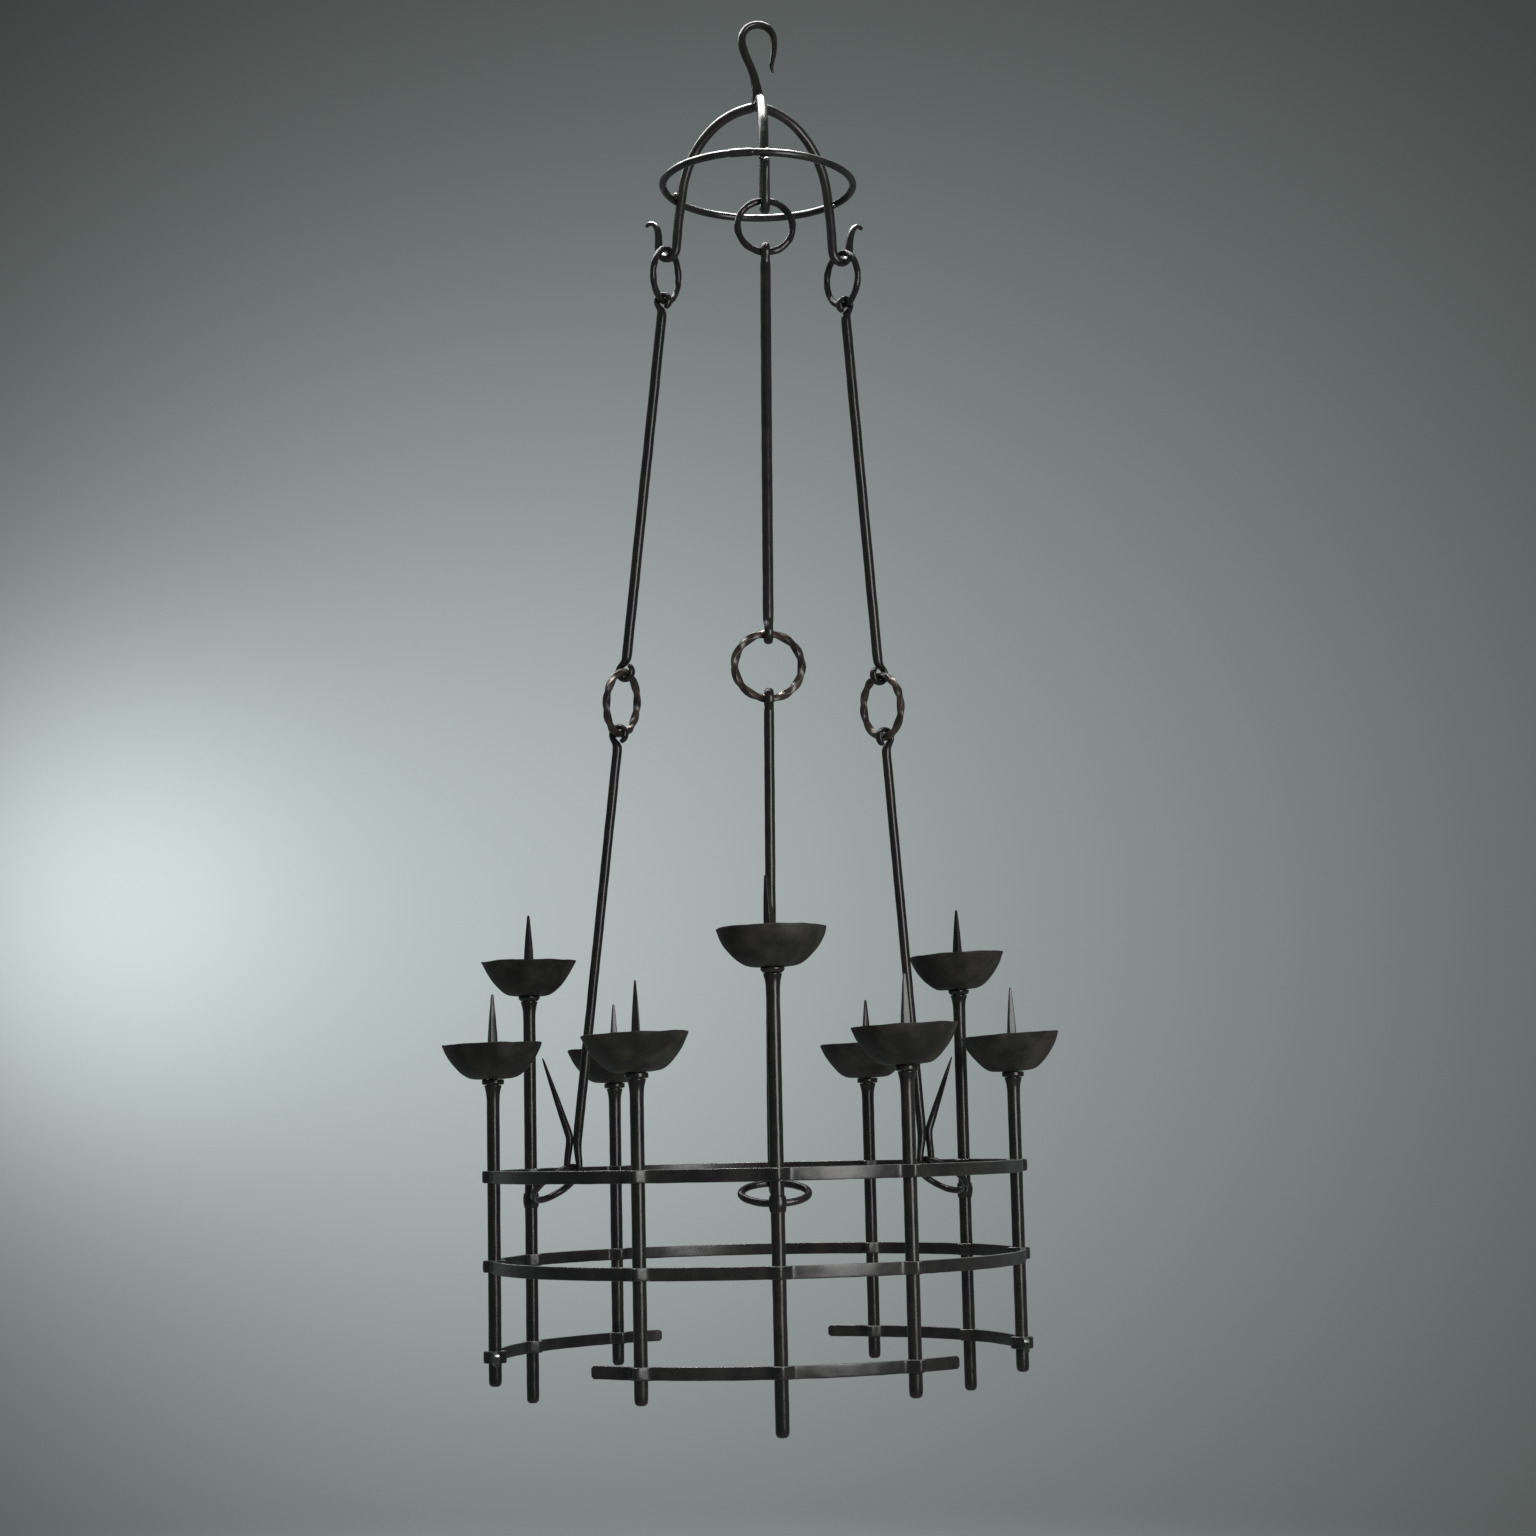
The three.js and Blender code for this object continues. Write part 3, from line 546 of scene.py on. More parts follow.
# %% Bend the ring, with its lap between two azimuths
# The even steps that would fall close to a seam are left out.
RING_STEP = 8
LAP, LAP_MIDDLE = (-21.5, -6.5), -14.0
LAP_BAR, SEAM_BAR, SEAM_LIP = 8.8, 6.6, 8.9
SEAMS = {LAP[0] - 0.4: RING_BAR, LAP[0]: SEAM_BAR, LAP[0] + 0.4: SEAM_LIP,
         LAP[1] - 0.4: SEAM_LIP, LAP[1]: SEAM_BAR, LAP[1] + 0.4: RING_BAR}
even_steps = {float(azimuth) for azimuth in range(-180, 180, RING_STEP) if azimuth not in (-20, -4)}
turns = sorted(even_steps | set(SEAMS) | {LAP_MIDDLE})
reach = RING / pull(RING_STEP)
path, widths = [], []
for azimuth in turns + [turns[0]]:
    angle = math.radians(azimuth - 90)
    path.append((reach * math.cos(angle), -reach * math.sin(angle)))
    widths.append(SEAMS.get(azimuth, LAP_BAR if LAP[0] < azimuth < LAP[1] else RING_BAR))
ring = draw_bar("crown_ring", path, widths, closed=True)
apply_place(ring, Matrix.Translation((0, 0, RING_HEIGHT * MM)) @ Matrix.Rotation(math.pi / 2, 4, "X"))
print("ring:", [round(v / MM, 1) for v in ring.dimensions])

# %% Beads of weld where the arms touch the ring
BEAD, BEAD_OUT = 2.6, 97.6
beads = []
for azimuth in SPOKES.values():
    for height, side in ((4.2, 3.4), (-4.2, -3.2)):
        bead = new_primitive(bpy.ops.mesh.primitive_uv_sphere_add, segments=16, ring_count=8,
                             radius=BEAD * MM)
        bead.scale = (1.1, 1.5, 0.8)
        put = Matrix.Translation((BEAD_OUT * MM, side * MM, (RING_HEIGHT + height) * MM))
        beads.append(apply_place(bead, spoke(azimuth) @ put))
select_only(*beads, ring)
bpy.ops.object.join()
hammer(ring, 0.32, 12)
hand_over(ring, "crown_ring")

# %% [markdown]
# ## The links
# An upper link is a ring of round bar that the hammer left lumpy. A middle link is square bar that was
# twisted hot before it was bent, so its corners wind round it and catch the light. Here the straight
# square bar is twisted and then bent with Simple Deform modifiers, in the same order as at the forge.
# Each copy is turned by an angle of its own, so that no two look alike.

# %% The hammered upper links, one in each chain
UPPER_LINK, LUMPS = 28.4, 10
LINK_STEP = 7.5
turns = [math.radians(LINK_STEP * k) for k in range(round(360 / LINK_STEP) + 1)]
reach = UPPER_LINK / pull(LINK_STEP)
path = [(reach * math.cos(turn), reach * math.sin(turn)) for turn in turns]
widths = [7.1 + 0.6 * math.sin(LUMPS * turn) + 0.15 * math.sin(3 * turn) for turn in turns]
depths = [7.0 + 0.6 * math.cos(LUMPS * turn) for turn in turns]
link = draw_bar("upper_link", path, widths, depths, closed=True)
stand = Matrix.Translation((0, 0, -UPPER_LINK_DROP)) @ Matrix.Rotation(math.pi / 2, 4, "Z")
for k, name in enumerate(SPOKES):
    piece = copy_to(link, "link", chains[name] @ stand @ Matrix.Rotation(2.1 * k, 4, "Y"))
    hammer(piece, 0.8, 8)
    hand_over(piece, "upper_link_" + name)
bpy.data.objects.remove(link)

# %% A straight square bar, twisted and then bent into a ring
TWIST_STEPS = 96


def twisted_ring(radius, bar, turns):
    """A ring in the XY plane, radius and bar in mm, with its corners wound round it."""
    length = 2 * math.pi * radius * MM
    piece = new_primitive(bpy.ops.mesh.primitive_plane_add, size=bar * MM, enter_editmode=True)
    bpy.ops.mesh.bevel(offset=bar * 0.14 * MM, segments=2, affect="VERTICES")
    bpy.ops.mesh.delete(type="ONLY_FACE")
    bpy.ops.mesh.select_all(action="SELECT")
    bpy.ops.transform.translate(value=(0, 0, -length / 2))
    for _ in range(TWIST_STEPS):
        bpy.ops.mesh.extrude_region_move(TRANSFORM_OT_translate={"value": (0, 0, length / TWIST_STEPS)})
    bpy.ops.object.mode_set(mode="OBJECT")
    add_modifier(piece, "SIMPLE_DEFORM", deform_method="TWIST", deform_axis="Z", angle=turns * 2 * math.pi)
    apply_place(piece, Matrix.Rotation(math.pi / 2, 4, "Y"))
    add_modifier(piece, "SIMPLE_DEFORM", deform_method="BEND", deform_axis="Z", angle=2 * math.pi)
    select_only(piece)
    bpy.ops.object.mode_set(mode="EDIT")
    close_up(2 * MERGE)
    bpy.ops.object.origin_set(type="ORIGIN_GEOMETRY", center="BOUNDS")
    piece.location = (0, 0, 0)
    return add_modifier(piece, "SUBSURF", levels=1, render_levels=1)


twisted = twisted_ring(radius=33.2, bar=6.9, turns=2.75)
print("twisted link, mm:", [round(v / MM, 1) for v in twisted.dimensions])

# %% The twisted middle links in their chains
stand = Matrix.Translation((0, 0, -MIDDLE_LINK_DROP)) @ Matrix.Rotation(math.pi / 2, 4, "Y")
for k, name in enumerate(SPOKES):
    piece = copy_to(twisted, "link", chains[name] @ stand @ Matrix.Rotation(1.3 * k, 4, "Z"))
    hammer(piece, 0.45, 7)
    hand_over(piece, "middle_link_" + name)
bpy.data.objects.remove(twisted)
print("links made:", [piece.name for piece in made if "link" in piece.name])

# %% [markdown]
# ## The rods
# A rod is drawn thin at its ends, and each thin end is curled round to its own neck to make an eye. The
# lower rods have an eye at the top only. Their foot is bent round the basket's loop and runs on as a
# spike that stands away from the rod, drawn out to a point.

# %% The path of an eye, from its tip to the rod's neck
EYE_BAR, EYE_BREADTH = 6, 8.8
UPPER_EYE, MIDDLE_EYE = 7.6, 8.3
UPPER_ROD, UPPER_ROD_BAR = (40.6, 463.6), 10.9
LOWER_ROD_TOP, LOWER_ROD_BAR = 514.6, 10.1


def eye_path(top, radius, up, bar):
    """An eye whose far side is at a distance down the chain, and the neck of a rod of that bar. The rod is
    below the eye, or above it when up is -1. Gives the points, and the sizes in the eye's own plane and
    across it, where the bar is beaten broad."""
    centre = -(top + radius * up)
    curl = arc((0, 0), radius, -48, 250, 11)
    path = [(x, centre + z * up) for x, z in reversed(curl)]
    neck = [(radius * 0.24, centre - up * (radius * 1.22)), (0.2, centre - up * (radius + 5.5)),
            (0, centre - up * (radius + 11)), (0, centre - up * (radius + 20))]
    widths = [4.8, 5.7] + [EYE_BAR] * 9 + [8.4, 10.4, bar, bar]
    depths = [6.4, 8] + [EYE_BREADTH] * 9 + [9.6, 10.6, bar, bar]
    return path + neck, widths, depths


upper_eye = eye_path(UPPER_ROD[0], UPPER_EYE, 1, UPPER_ROD_BAR)
print("eye of the upper rod, mm:", [(round(x, 1), round(z, 1)) for x, z in upper_eye[0]])

# %% The upper rods
SECTION_STEP = 24
RUN_MARGIN = 12


def straight(start, end, size):
    """Points and sizes along a straight run, drawn under the hammer to within a few tenths of a mm."""
    count = max(2, round(abs(end - start) / SECTION_STEP))
    heights = [start + (end - start) * (k + 0.5) / count for k in range(count)]
    wander = [0.16 * math.sin(2.1 * k + start) for k in range(count)]
    sizes = [size + 0.14 * math.sin(3.7 * k + end) for k in range(count)]
    return list(zip(wander, heights)), sizes


lower_eye = eye_path(UPPER_ROD[1], MIDDLE_EYE, -1, UPPER_ROD_BAR)
run, sizes = straight(upper_eye[0][-1][1] - RUN_MARGIN, lower_eye[0][-1][1] + RUN_MARGIN, UPPER_ROD_BAR)
path = upper_eye[0] + run + lower_eye[0][::-1]
widths = upper_eye[1] + sizes + lower_eye[1][::-1]
depths = upper_eye[2] + sizes + lower_eye[2][::-1]
rod = draw_bar("upper_rod", path, widths, depths)
for name in SPOKES:
    piece = copy_to(rod, "rod", chains[name])
    hammer(piece, 0.5, 13)
    hand_over(piece, "upper_rod_" + name)
bpy.data.objects.remove(rod)

# %% The lower rods, each as long as its chain needs
END_HOOK, END_HOOK_BEND, END_HOOK_OFFSET = 7, 7.55, 1.5
RUN_END = 66
PINCH = (9.3, 30)
SPIKE = ((0.06, 8.2), (0.13, 8.0), (0.3, 7.3), (0.52, 6.0), (0.76, 4.2), (0.94, 2.5), (1, 1.5))
TIPS = {"front": (52, 108), "right": (50, 105), "left": (53, 110.5)}


def lower_rod(seat, tip):
    """A rod with an eye at its top and, at a distance down the chain, the hook and spike of its foot. The
    tip is where the spike ends, out from the rod and up from the seat."""
    path, widths, depths = eye_path(LOWER_ROD_TOP, MIDDLE_EYE, 1, LOWER_ROD_BAR)
    run, sizes = straight(path[-1][1] - RUN_MARGIN, -seat + RUN_END, LOWER_ROD_BAR)
    path += run + [(0, -seat + 46), (0, -seat + 31), (-0.8, -seat + 22), (-3.2, -seat + 12)]
    sizes += [10.0, 9.7, 8.9, 7.7]
    path += arc((END_HOOK_OFFSET, -seat), END_HOOK_BEND, 180, 360, 7)
    sizes += [END_HOOK] * 7
    path += [(9.6, -seat + 11), (8.9, -seat + 20), (PINCH[0], -seat + PINCH[1])]
    sizes += [7.3, 7.8, 8.2]
    for share, size in SPIKE:
        out = PINCH[0] + (tip[0] - PINCH[0]) * share
        up = PINCH[1] + (tip[1] - PINCH[1]) * share
        path.append((out, -seat + up))
        sizes.append(size)
    return draw_bar("lower_rod", path, widths + sizes, depths + sizes)


for name in SPOKES:
    piece = apply_place(lower_rod(-hung_seats[name].z / MM, TIPS[name]), chains[name])
    hammer(piece, 0.45, 12)
    hand_over(piece, "lower_rod_" + name)
print("pieces so far:", len(made))

# %% [markdown]
# ## Hoops and bands
# A flat bar bent the easy way. Wherever a post passes, the smith slit it and drove a round drift through,
# so the bar swells into an eye. Here the section is widened at each post, and a drill the size of a post
# is cut away with a Boolean modifier.

# %% Where a flat bar is thick and where it is thin
HOOP_HEIGHT, HOOP_THICKNESS = 12.5, 5
EYE_REACH, EYE_SWELL = 13, 18.9
EYE_STEPS = (-15, -12, -8.5, -5.5, -2.5, 0, 2.5, 5.5, 8.5, 12, 15)
HOOP_STEP, HOOP_CLEAR = 4.5, 2.2


def swelling(away):
    """The bar's thickness at a distance from a post's middle."""
    if abs(away) >= EYE_REACH:
        return HOOP_THICKNESS
    return HOOP_THICKNESS + EYE_SWELL * (0.5 + 0.5 * math.cos(away / EYE_REACH * math.pi))


def hoop_marks(posts, start, end):
    """Angles and thicknesses along a bar: close together at each post and wide apart between."""
    marks = {}
    for post in posts:
        for away in EYE_STEPS:
            marks[round(post + math.degrees(away / HOOP_RADIUS), 4)] = swelling(away)
    angle = start
    while angle < end - 1e-6:
        if all(abs(angle - mark) > HOOP_CLEAR for mark in marks):
            marks[round(angle, 4)] = HOOP_THICKNESS
        angle += HOOP_STEP
    return sorted(marks.items())


# %% Flat bar, bent round the basket and drilled for its posts
POST_HOLE = 6.65


def drill(piece, posts):
    """Cuts a hole for each post."""
    bits = []
    for post in posts:
        angle = math.radians(post)
        at = (POST_CIRCLE * math.cos(angle), POST_CIRCLE * math.sin(angle), 0)
        bits.append(new_primitive(bpy.ops.mesh.primitive_cylinder_add, vertices=32, radius=POST_HOLE * MM,
                                  depth=40 * MM, location=at))
    select_only(*bits)
    bpy.ops.object.join()
    bit = bpy.context.object
    add_modifier(piece, "BOOLEAN", operation="DIFFERENCE", solver="EXACT", object=bit)
    bpy.data.objects.remove(bit)


def flat_bar(name, marks, heights, posts, closed=False):
    """A bar with an angle and a thickness at each mark, a height at each, and a hole for each post."""
    angles = [math.radians(mark) for mark, _ in marks]
    path = [(HOOP_RADIUS * math.cos(angle), -HOOP_RADIUS * math.sin(angle)) for angle in angles]
    thicknesses = [thickness for _, thickness in marks]
    bar = draw_bar(name, path, thicknesses, heights, corner=0.09, closed=closed)
    apply_place(bar, Matrix.Rotation(math.pi / 2, 4, "X"))
    drill(bar, posts)
    return bar


# %% The two hoops
HOOP_DROPS = {"upper_hoop": 0, "middle_hoop": 89.5}
all_posts = [azimuth + k * POST_SPREAD - 90 for azimuth in SPOKES.values() for k in (-1, 0, 1)]
first = min(all_posts) - 10
marks = hoop_marks(all_posts, first, first + 360)
marks.append((marks[0][0] + 360, marks[0][1]))
hoop = flat_bar("hoop", marks, [HOOP_HEIGHT] * len(marks), all_posts, closed=True)
for node, drop in HOOP_DROPS.items():
    piece = copy_to(hoop, node, basket @ Matrix.Translation((0, 0, -drop * MM)))
    hammer(piece, 0.6, 14)
    hand_over(piece, node, smooth_angle=40)
bpy.data.objects.remove(hoop)
print("hoop:", len(piece.data.vertices), "vertices")

# %% The three lower bands, with their ends forged to a blunt point
BAND_END, BAND_TIP, BAND_DROP = POST_SPREAD + 11.4, 2.4, 179.5
# Each section of a tip: degrees from the band's end, thickness and height.
TIP = [(0, 4.4, 7.0), (0.04, 4.8, 7.8), (0.56, 5, 12.3), (0.64, 5, 12.5), (1.7, 5, 12.5)]
group = (-POST_SPREAD, 0, POST_SPREAD)
marks = hoop_marks(group, -BAND_END + BAND_TIP, BAND_END - BAND_TIP)
heights = [height for _, _, height in TIP]
heights = heights + [HOOP_HEIGHT] * len(marks) + heights[::-1]
starts = [(-BAND_END + angle, thickness) for angle, thickness, _ in TIP]
ends = [(BAND_END - angle, thickness) for angle, thickness, _ in reversed(TIP)]
band = flat_bar("lower_band", starts + marks + ends, heights, group)
for name, azimuth in SPOKES.items():
    piece = copy_to(band, "band", basket @ Matrix.Translation((0, 0, -BAND_DROP * MM)) @ spoke(azimuth))
    hammer(piece, 0.6, 14)
    hand_over(piece, "lower_band_" + name, smooth_angle=40)
bpy.data.objects.remove(band)

# %% [markdown]
# ## The basket's loops
# Each tall post has an oval loop of thin bar wrapped and welded to it just under the upper hoop. The bar
# and the lump of the weld have run together, so the two are joined and remeshed into one skin.

# %% A loop that leans from its weld to the seat of its chain's hook
WELD_DROP = 27
WELD = Vector((258.1, 0, -WELD_DROP)) * MM
LOOP_WIDTH = 63
LOOP_STEP = 12


def loop_ring(seat):
    length = (seat - WELD).length / MM
    grow = 1 / pull(LOOP_STEP)
    turns = [math.radians(LOOP_STEP * k) for k in range(360 // LOOP_STEP + 1)]
    path = [(length / 2 * grow * math.cos(turn), LOOP_WIDTH / 2 * grow * math.sin(turn)) for turn in turns]
    widths = [7.0 + 0.25 * math.sin(2 * turn) for turn in turns]
    ring = draw_bar("basket_loop", path, widths, closed=True)
    out = (seat - WELD).normalized()
    across = Vector((0, 1, 0))
    lean = Matrix((out, across.cross(out), across)).transposed().to_4x4()
    return apply_place(ring, Matrix.Translation((seat + WELD) / 2) @ lean)


# %% The lump of weld, run together with its loop, on each tall post
profile = [(6.7, -9.0), (7.1, -8.8), (7.7, -6), (8.5, -2), (8.7, 1.5), (8.1, 5.5), (7.3, 8.4), (6.7, 8.8),
           (6.7, -9.0)]
lump = round_off(raise_profile("weld", profile, sides=16, closed=True))
apply_place(lump, Matrix.Translation((POST_CIRCLE, 0, -WELD_DROP * MM)))
for name, azimuth in SPOKES.items():
    ring = loop_ring(LOOP_SEATS[name])
    select_only(copy_to(lump, "lump", Matrix()), ring)
    bpy.ops.object.join()
    add_modifier(ring, "REMESH", mode="VOXEL", voxel_size=0.55 * MM)
    add_modifier(ring, "SMOOTH", factor=0.6, iterations=6)
    apply_place(ring, basket @ spoke(azimuth))
    hammer(ring, 0.6, 8)
    hand_over(ring, "basket_loop_" + name)
bpy.data.objects.remove(lump)
print("last loop and weld:", len(ring.data.vertices), "vertices")

# %% [markdown]
# ## Posts and prickets
# Each post is one bar. Its foot is chamfered, and its top flares a little, is drawn down through collar
# and cup, and goes on as the pricket: a square point, hammered on four sides, that the candle is pushed
# on to. It is a bar of its own here, drawn with a square section whose corners are broken. Each post is
# turned by an angle of its own, so that the square points stand at odds, as the smith's do.

# %% A post of either height
TALL = {"shoulder": 183.3, "foot": -238}
SHORT = {"shoulder": 90.8, "foot": -209}
COLLAR_HEIGHT = 5.6
SHEET = 2
# Each section of a pricket: its height above the cup's floor, and its size.
PRICKET = [(2, 8.2), (14, 8.6), (26, 8.8), (36, 8.6), (47, 7.5), (58, 6.1), (69, 4.5), (78, 3.1), (83, 2.2),
           (84.4, 1.4)]
PRICKET_TURN = 22


def leaning(degrees, towards, height):
    """Leans what stands above a height over, towards an angle in the XY plane, in radians."""
    axis = (-math.sin(towards), math.cos(towards), 0)
    foot = Matrix.Translation((0, 0, height * MM))
    return foot @ Matrix.Rotation(math.radians(degrees), 4, axis) @ foot.inverted()


def post(shoulder, foot, lean, towards):
    """A post whose pricket leans over by some degrees, towards an angle in radians."""
    floor = shoulder + WELD_GAP + COLLAR_HEIGHT + WELD_GAP + SHEET
    count = round((shoulder - foot) / SECTION_STEP)
    spread = [foot + 12 + (shoulder - foot - 36) * k / count for k in range(count + 1)]
    profile = [(2.2, foot), (4.1, foot + 0.2), (5.9, foot + 1.9), (6.5, foot + 4.4)]
    profile += [(6.55 + 0.1 * math.sin(2.3 * k), height) for k, height in enumerate(spread)]
    profile += [(6.6, shoulder - 16), (6.9, shoulder - 10), (7.7, shoulder - 5), (8.8, shoulder - 1.4),
                (8.9, shoulder - 0.3), (8.4, shoulder), (4.4, shoulder + 0.1), (4.3, shoulder + 1.5),
                (4.3, floor), (4.1, floor + 3), (2.6, floor + 4)]
    shaft = round_off(raise_profile("post", profile, sides=16))
    path = [(0, floor + height) for height, _ in PRICKET]
    point = draw_bar("pricket", path, [size for _, size in PRICKET], corner=0.12)
    turn = Matrix.Rotation(math.radians(PRICKET_TURN), 4, "Z")
    apply_place(point, leaning(lean, towards, floor) @ turn)
    select_only(point, shaft)
    bpy.ops.object.join()
    return shaft


# %% A collar for a tall post and one for a short post
COLLAR_HOLE = 5.1


def collar(shoulder, flared):
    """A collar: a short flare, or else a flange with a square edge."""
    bottom = shoulder + WELD_GAP
    top = bottom + COLLAR_HEIGHT
    if flared:
        outside = [(8.4, bottom), (9.2, bottom + 0.5), (10.6, bottom + 2.0), (11.3, bottom + 2.8),
                   (11.4, top - 0.9), (10.9, top)]
    else:
        outside = [(9.9, bottom), (11.0, bottom + 0.4), (11.4, bottom + 1.4), (11.3, top - 0.8),
                   (10.9, top)]
    profile = [(COLLAR_HOLE, bottom)] + outside + [(COLLAR_HOLE, top), (COLLAR_HOLE, bottom)]
    return round_off(raise_profile("collar", profile, sides=20, closed=True))


# %% [markdown]
# ## The drip cups
# Each cup was raised from a disc of sheet over a hollow in a block, planished, and pierced for the post.
# Its floor is flat, its side steepens to a rim that flares a little, and the rim was never trued up, so
# it wanders. The profile goes up the outside and back down the inside, two millimetres in.

# %% One cup, with its rim left uneven
CUP_HOLE, CUP_FLOOR, CUP_HEIGHT = 4.9, 22, 37.8
RIM_START, RIM_WANDER = 34, 0.8
CUP_OUTSIDE = [(CUP_HOLE, 0), (12, 0), (20, 0.2), (24.6, 1.6), (30.5, 6.6), (36.6, 13.6), (42.2, 21.4),
               (46.6, 29), (49.8, 35.4), (50.9, 37)]
CUP_INSIDE = [(50.2, 37.7), (48.8, 36.6), (44.9, 29.8), (40.5, 22.6), (34.9, 15), (28.8, 8.3), (23.4, 3.8),
              (19, 2.3), (12, SHEET), (CUP_HOLE, SHEET), (CUP_HOLE, 0)]


def cup(shoulder, seed, fullness):
    """A cup on its collar. Fullness says how far its side is beaten out, in mm at half its height."""
    bottom = shoulder + WELD_GAP + COLLAR_HEIGHT + WELD_GAP
    rise = 0.985 + 0.03 * math.sin(2.3 * seed)
    profile = []
    for radius, height in CUP_OUTSIDE + CUP_INSIDE:
        beaten_out = fullness * math.sin(math.pi * height / CUP_HEIGHT) ** 0.5 if radius > CUP_FLOOR else 0
        profile.append((radius + beaten_out, bottom + height * rise))
    piece = raise_profile("cup", profile, sides=24, closed=True)
    select_only(piece)
    bpy.ops.object.mode_set(mode="EDIT")
    bpy.ops.mesh.select_all(action="DESELECT")
    bpy.ops.object.mode_set(mode="OBJECT")
    for vertex in piece.data.vertices:
        vertex.select = vertex.co.z > (bottom + RIM_START) * MM
    bpy.ops.object.mode_set(mode="EDIT")
    bpy.ops.transform.vertex_random(offset=RIM_WANDER * MM, uniform=1, normal=0, seed=seed)
    bpy.ops.object.mode_set(mode="OBJECT")
    return round_off(piece)


# %% How the cups differ: fullness in mm, tilt up on the right in degrees, and how much higher they sit
CUPS = {
    "front_left": (1.6, 2.0, 0), "front": (3.9, 0.6, 2.0), "front_right": (1.8, 2.2, 2.2),
    "right_front": (1.6, 3.2, -0.8), "right": (2.0, 2.8, -1.5), "right_rear": (1.6, 1.0, 0),
    "left_rear": (1.6, 0.8, 0), "left": (0.2, 0.3, 0), "left_front": (2.2, 1.0, 1.8),
}

# %% Stand the posts, collars and cups in the basket
FRONT_PRICKET_LEAN = 3.2
for name, azimuth in SPOKES.items():
    for k, post_name in enumerate(POST_NAMES[name]):
        size = dict(TALL if k == 1 else SHORT)
        fullness, tilt, lift = CUPS[post_name]
        size["shoulder"] += lift
        stand = basket @ spoke(azimuth + (k - 1) * POST_SPREAD) @ Matrix.Translation((POST_CIRCLE, 0, 0))
        turned = 1.7 * len(made)
        stand = stand @ Matrix.Rotation(turned, 4, "Z")
        lean = FRONT_PRICKET_LEAN if post_name == "front" else 0
        shaft = apply_place(post(lean=lean, towards=-math.pi / 2 - turned, **size), stand)
        hammer(shaft, 0.4, 11)
        hand_over(shaft, "post_" + post_name)
        ring = apply_place(collar(size["shoulder"], k == 1), stand)
        hammer(ring, 0.3, 6)
        hand_over(ring, "collar_" + post_name)
        bowl = apply_place(cup(size["shoulder"], len(made), fullness), stand)
        foot = Matrix.Translation(stand @ Vector((0, 0, (size["shoulder"] + COLLAR_HEIGHT) * MM)))
        apply_place(bowl, foot @ Matrix.Rotation(math.radians(-tilt), 4, "Y") @ foot.inverted())
        hammer(bowl, 1.1, 16)
        hand_over(bowl, "drip_cup_" + post_name)
print("pieces:", len(made), "of", len(frame["nodes"]), "nodes")

# %% [markdown]
# ## Floor, light and camera
# The floor is plain and pale and keeps the chandelier's shadow. Further off it fades into the wall of
# the studio, which only the camera and reflections see: a soft lamp's glow on grey-green, the sum of a
# small bright lobe, a wider halo and a broad one. Away from the photograph's side the wall is even.

# %% The studio wall as the camera and reflections see it
class Studio(Finish):
    """The world's own nodes, made in the same way as a finish."""

    def __init__(self, name):
        bpy.context.scene.world = bpy.data.worlds.new(name)
        bpy.context.scene.world.use_nodes = True
        self.tree = bpy.context.scene.world.node_tree
        self.tree.nodes.clear()


# Directions from the camera: to the middle of each lobe, and straight ahead.
GLOW = Vector((-0.1748, 0.9810, 0.0841))
HALO = Vector((-0.0786, 0.9940, 0.0763))
WALL = Vector((0.0910, 0.9926, 0.0810))
AHEAD = Vector((0.0713, 0.9882, 0.1357))
PALE = 0.23
AMBIENT = 0.09
studio = Studio("studio")
look = studio.node("ShaderNodeTexCoord", "Generated")


def along(direction):
    """1 where one looks in a direction, 0 at a right angle to it."""
    facing = studio.node("ShaderNodeVectorMath", "Value", {"operation": "DOT_PRODUCT"}, look, direction)
    return facing.maths("MAXIMUM", facing, 0)


wall = along(GLOW) ** 299 * 0.370 + along(HALO) ** 62 * 0.262 + along(WALL) ** 18.2 * 0.284
front = along(AHEAD).between(0.78, 0.925)
tone = wall * front + PALE * (1 - front)
grey_green = studio.node("ShaderNodeCombineColor", "Color", None, tone * 0.89, tone, tone * 0.985)

# %% The same wall, and a plain soft light for everything else
paths = studio.tree.nodes.new("ShaderNodeLightPath")
seen = 0
for kind in ("Is Camera Ray", "Is Glossy Ray", "Is Transmission Ray"):
    seen = seen + Shade(studio, paths.outputs[kind])
shown = studio.node("ShaderNodeBackground", "Background", None, grey_green, 1.0)
ambient = studio.node("ShaderNodeBackground", "Background", None, (0.96, 0.99, 1.0, 1), AMBIENT)
either = studio.node("ShaderNodeMixShader", "Shader", None, seen.between(0, 1), ambient, shown)
output = studio.tree.nodes.new("ShaderNodeOutputWorld")
studio.put(output.inputs["Surface"], either)

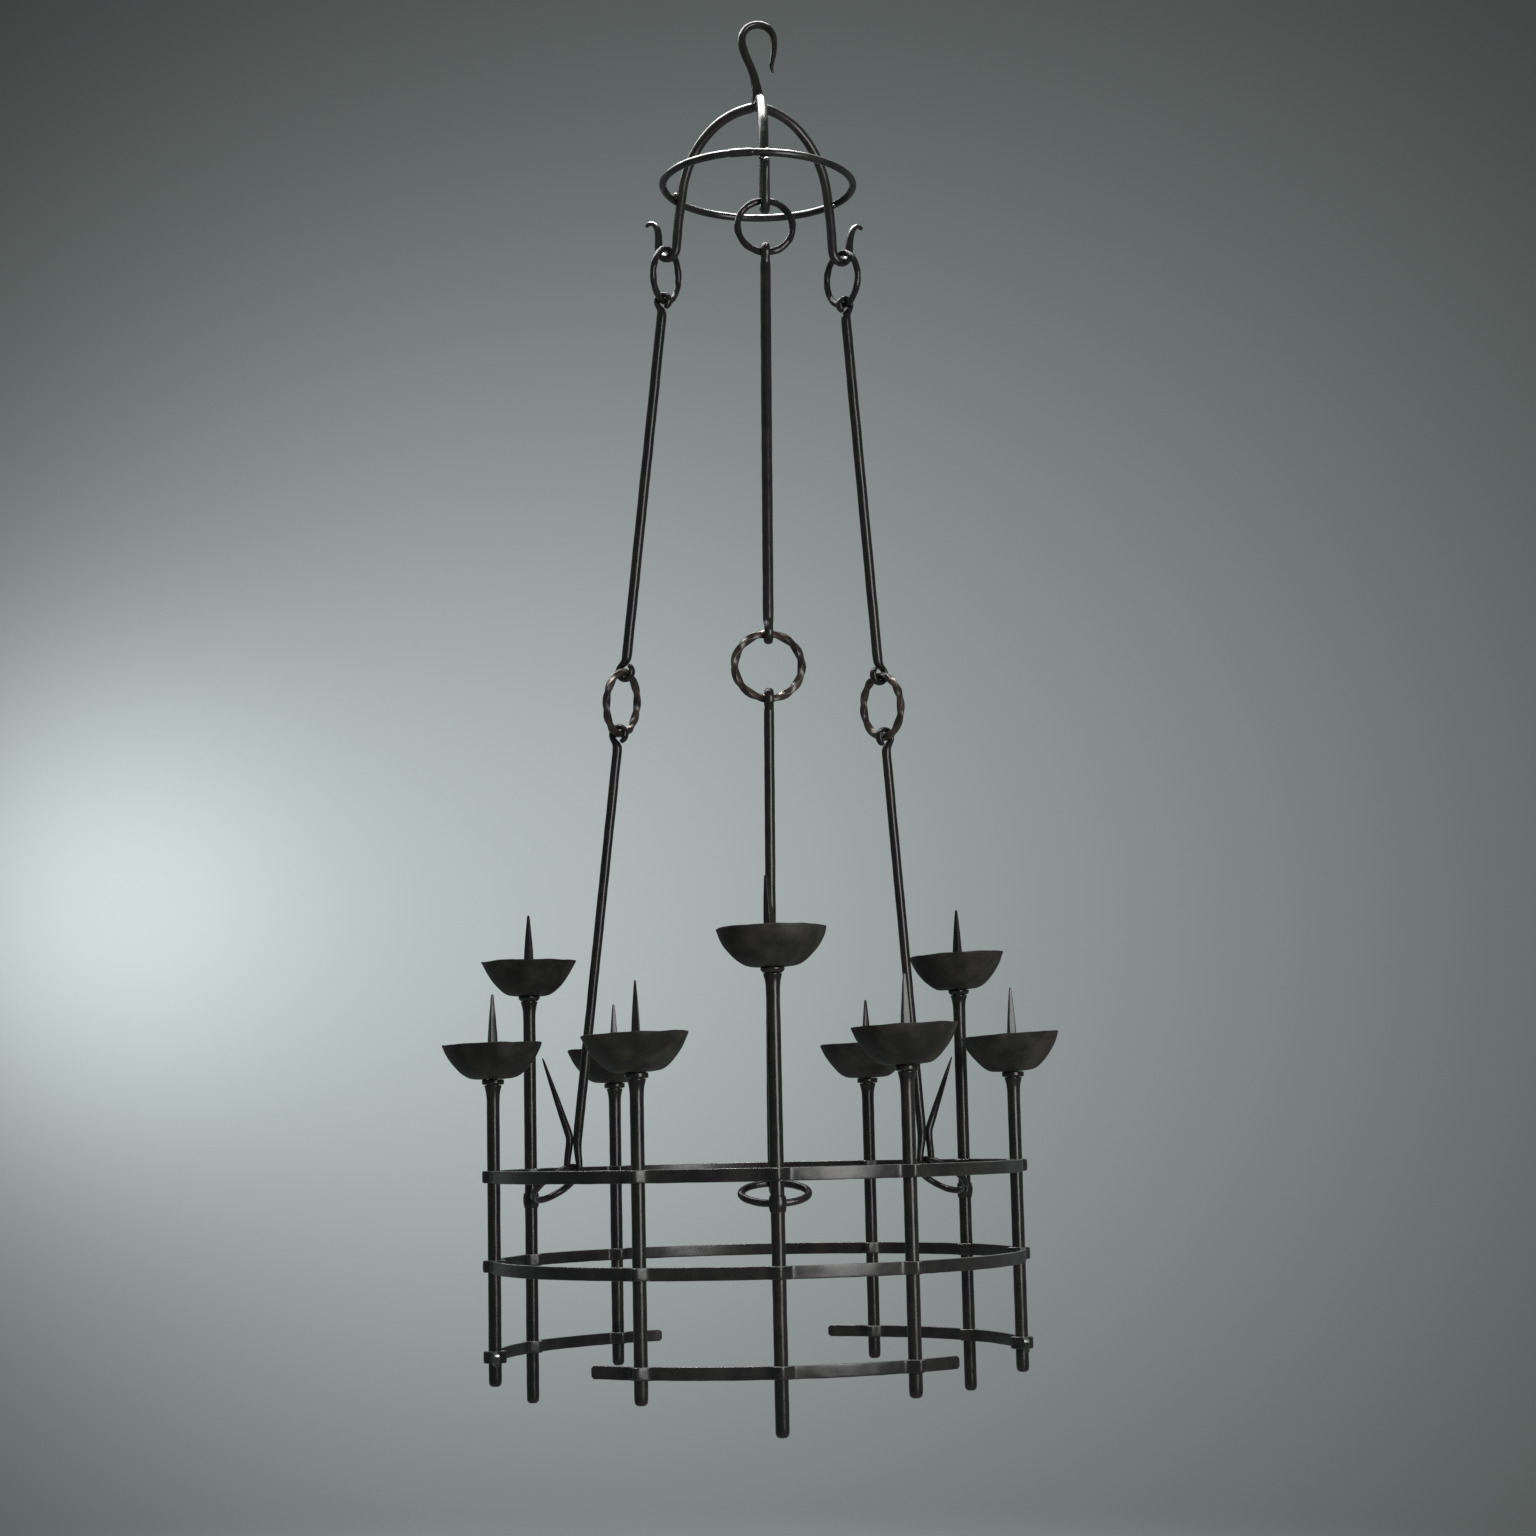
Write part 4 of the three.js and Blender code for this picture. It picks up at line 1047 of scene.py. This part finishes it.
# %% The floor
FLOOR, FADE = -1.78, (1.78, 2.6)
floor = new_primitive(bpy.ops.mesh.primitive_plane_add, size=60, location=(0, 0, FLOOR))
floor.name = "studio_floor"
apply_place(floor)
paper = Finish("floor paper", Base_Color=(0.50, 0.55, 0.545, 1), Roughness=0.95)
place = paper.node("ShaderNodeTexCoord", "Object")
away = paper.node("ShaderNodeVectorMath", "Value", {"operation": "LENGTH"}, place)
clear = paper.node("ShaderNodeBsdfTransparent", "BSDF")
lit = Shade(paper, paper.shader.outputs[0])
cut = paper.node("ShaderNodeMixShader", "Shader", None, away.between(*FADE), lit, clear)
paper.put(paper.tree.nodes["Material Output"].inputs["Surface"], cut)
floor.data.materials.append(paper.material)
floor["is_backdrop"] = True


# %% Soft lights: one over the crown, a tall window in front on the right and a faint one behind
def softbox(name, place, target, size, power):
    data = bpy.data.lights.new(name, "AREA")
    data.shape = "RECTANGLE"
    data.size, data.size_y = size
    data.energy = power
    lamp = bpy.data.objects.new(name, data)
    bpy.context.collection.objects.link(lamp)
    lamp.location = place
    lamp.rotation_euler = (Vector(target) - Vector(place)).to_track_quat("-Z", "Y").to_euler()


softbox("overhead", place=(-0.3, 0.28, 0.6), target=(-0.3, 0.28, 0), size=(1.1, 0.9), power=26)
softbox("right window", place=(0.97, -1.75, -0.7), target=(0, 0, -0.85), size=(0.8, 1.5), power=42)
softbox("back left", place=(-1.5, 1.3, 1.15), target=(0, 0, -0.7), size=(0.8, 0.8), power=12)

# %% The camera, where the photograph was taken from
AZIMUTH, DISTANCE, HEIGHT = math.radians(-3.9), 2.80, -1.190
TILT_UP, PAN = 7.8, 0.225
SENSOR = 36
FOCAL_PIXELS, PICTURE_PIXELS = 2714, 1536
lens = bpy.data.cameras.new("camera")
lens.sensor_width = SENSOR
lens.lens = SENSOR * FOCAL_PIXELS / PICTURE_PIXELS
camera = bpy.data.objects.new("camera", lens)
bpy.context.collection.objects.link(camera)
camera.location = (math.sin(AZIMUTH) * DISTANCE, -math.cos(AZIMUTH) * DISTANCE, HEIGHT)
camera.rotation_euler = (math.radians(90 + TILT_UP), 0, AZIMUTH - math.radians(PAN))
bpy.context.scene.camera = camera
bpy.context.scene.view_settings.view_transform = "Standard"

# %% Measure the dressed model
dressed_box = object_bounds()
sizes = {"cad": [list(corner) for corner in cad_box], "dressed": [list(corner) for corner in dressed_box]}
print("dressed box in mm:", [round(v / MM) for corner in dressed_box for v in corner])
print("vertices in all:", sum(len(piece.data.vertices) for piece in made))
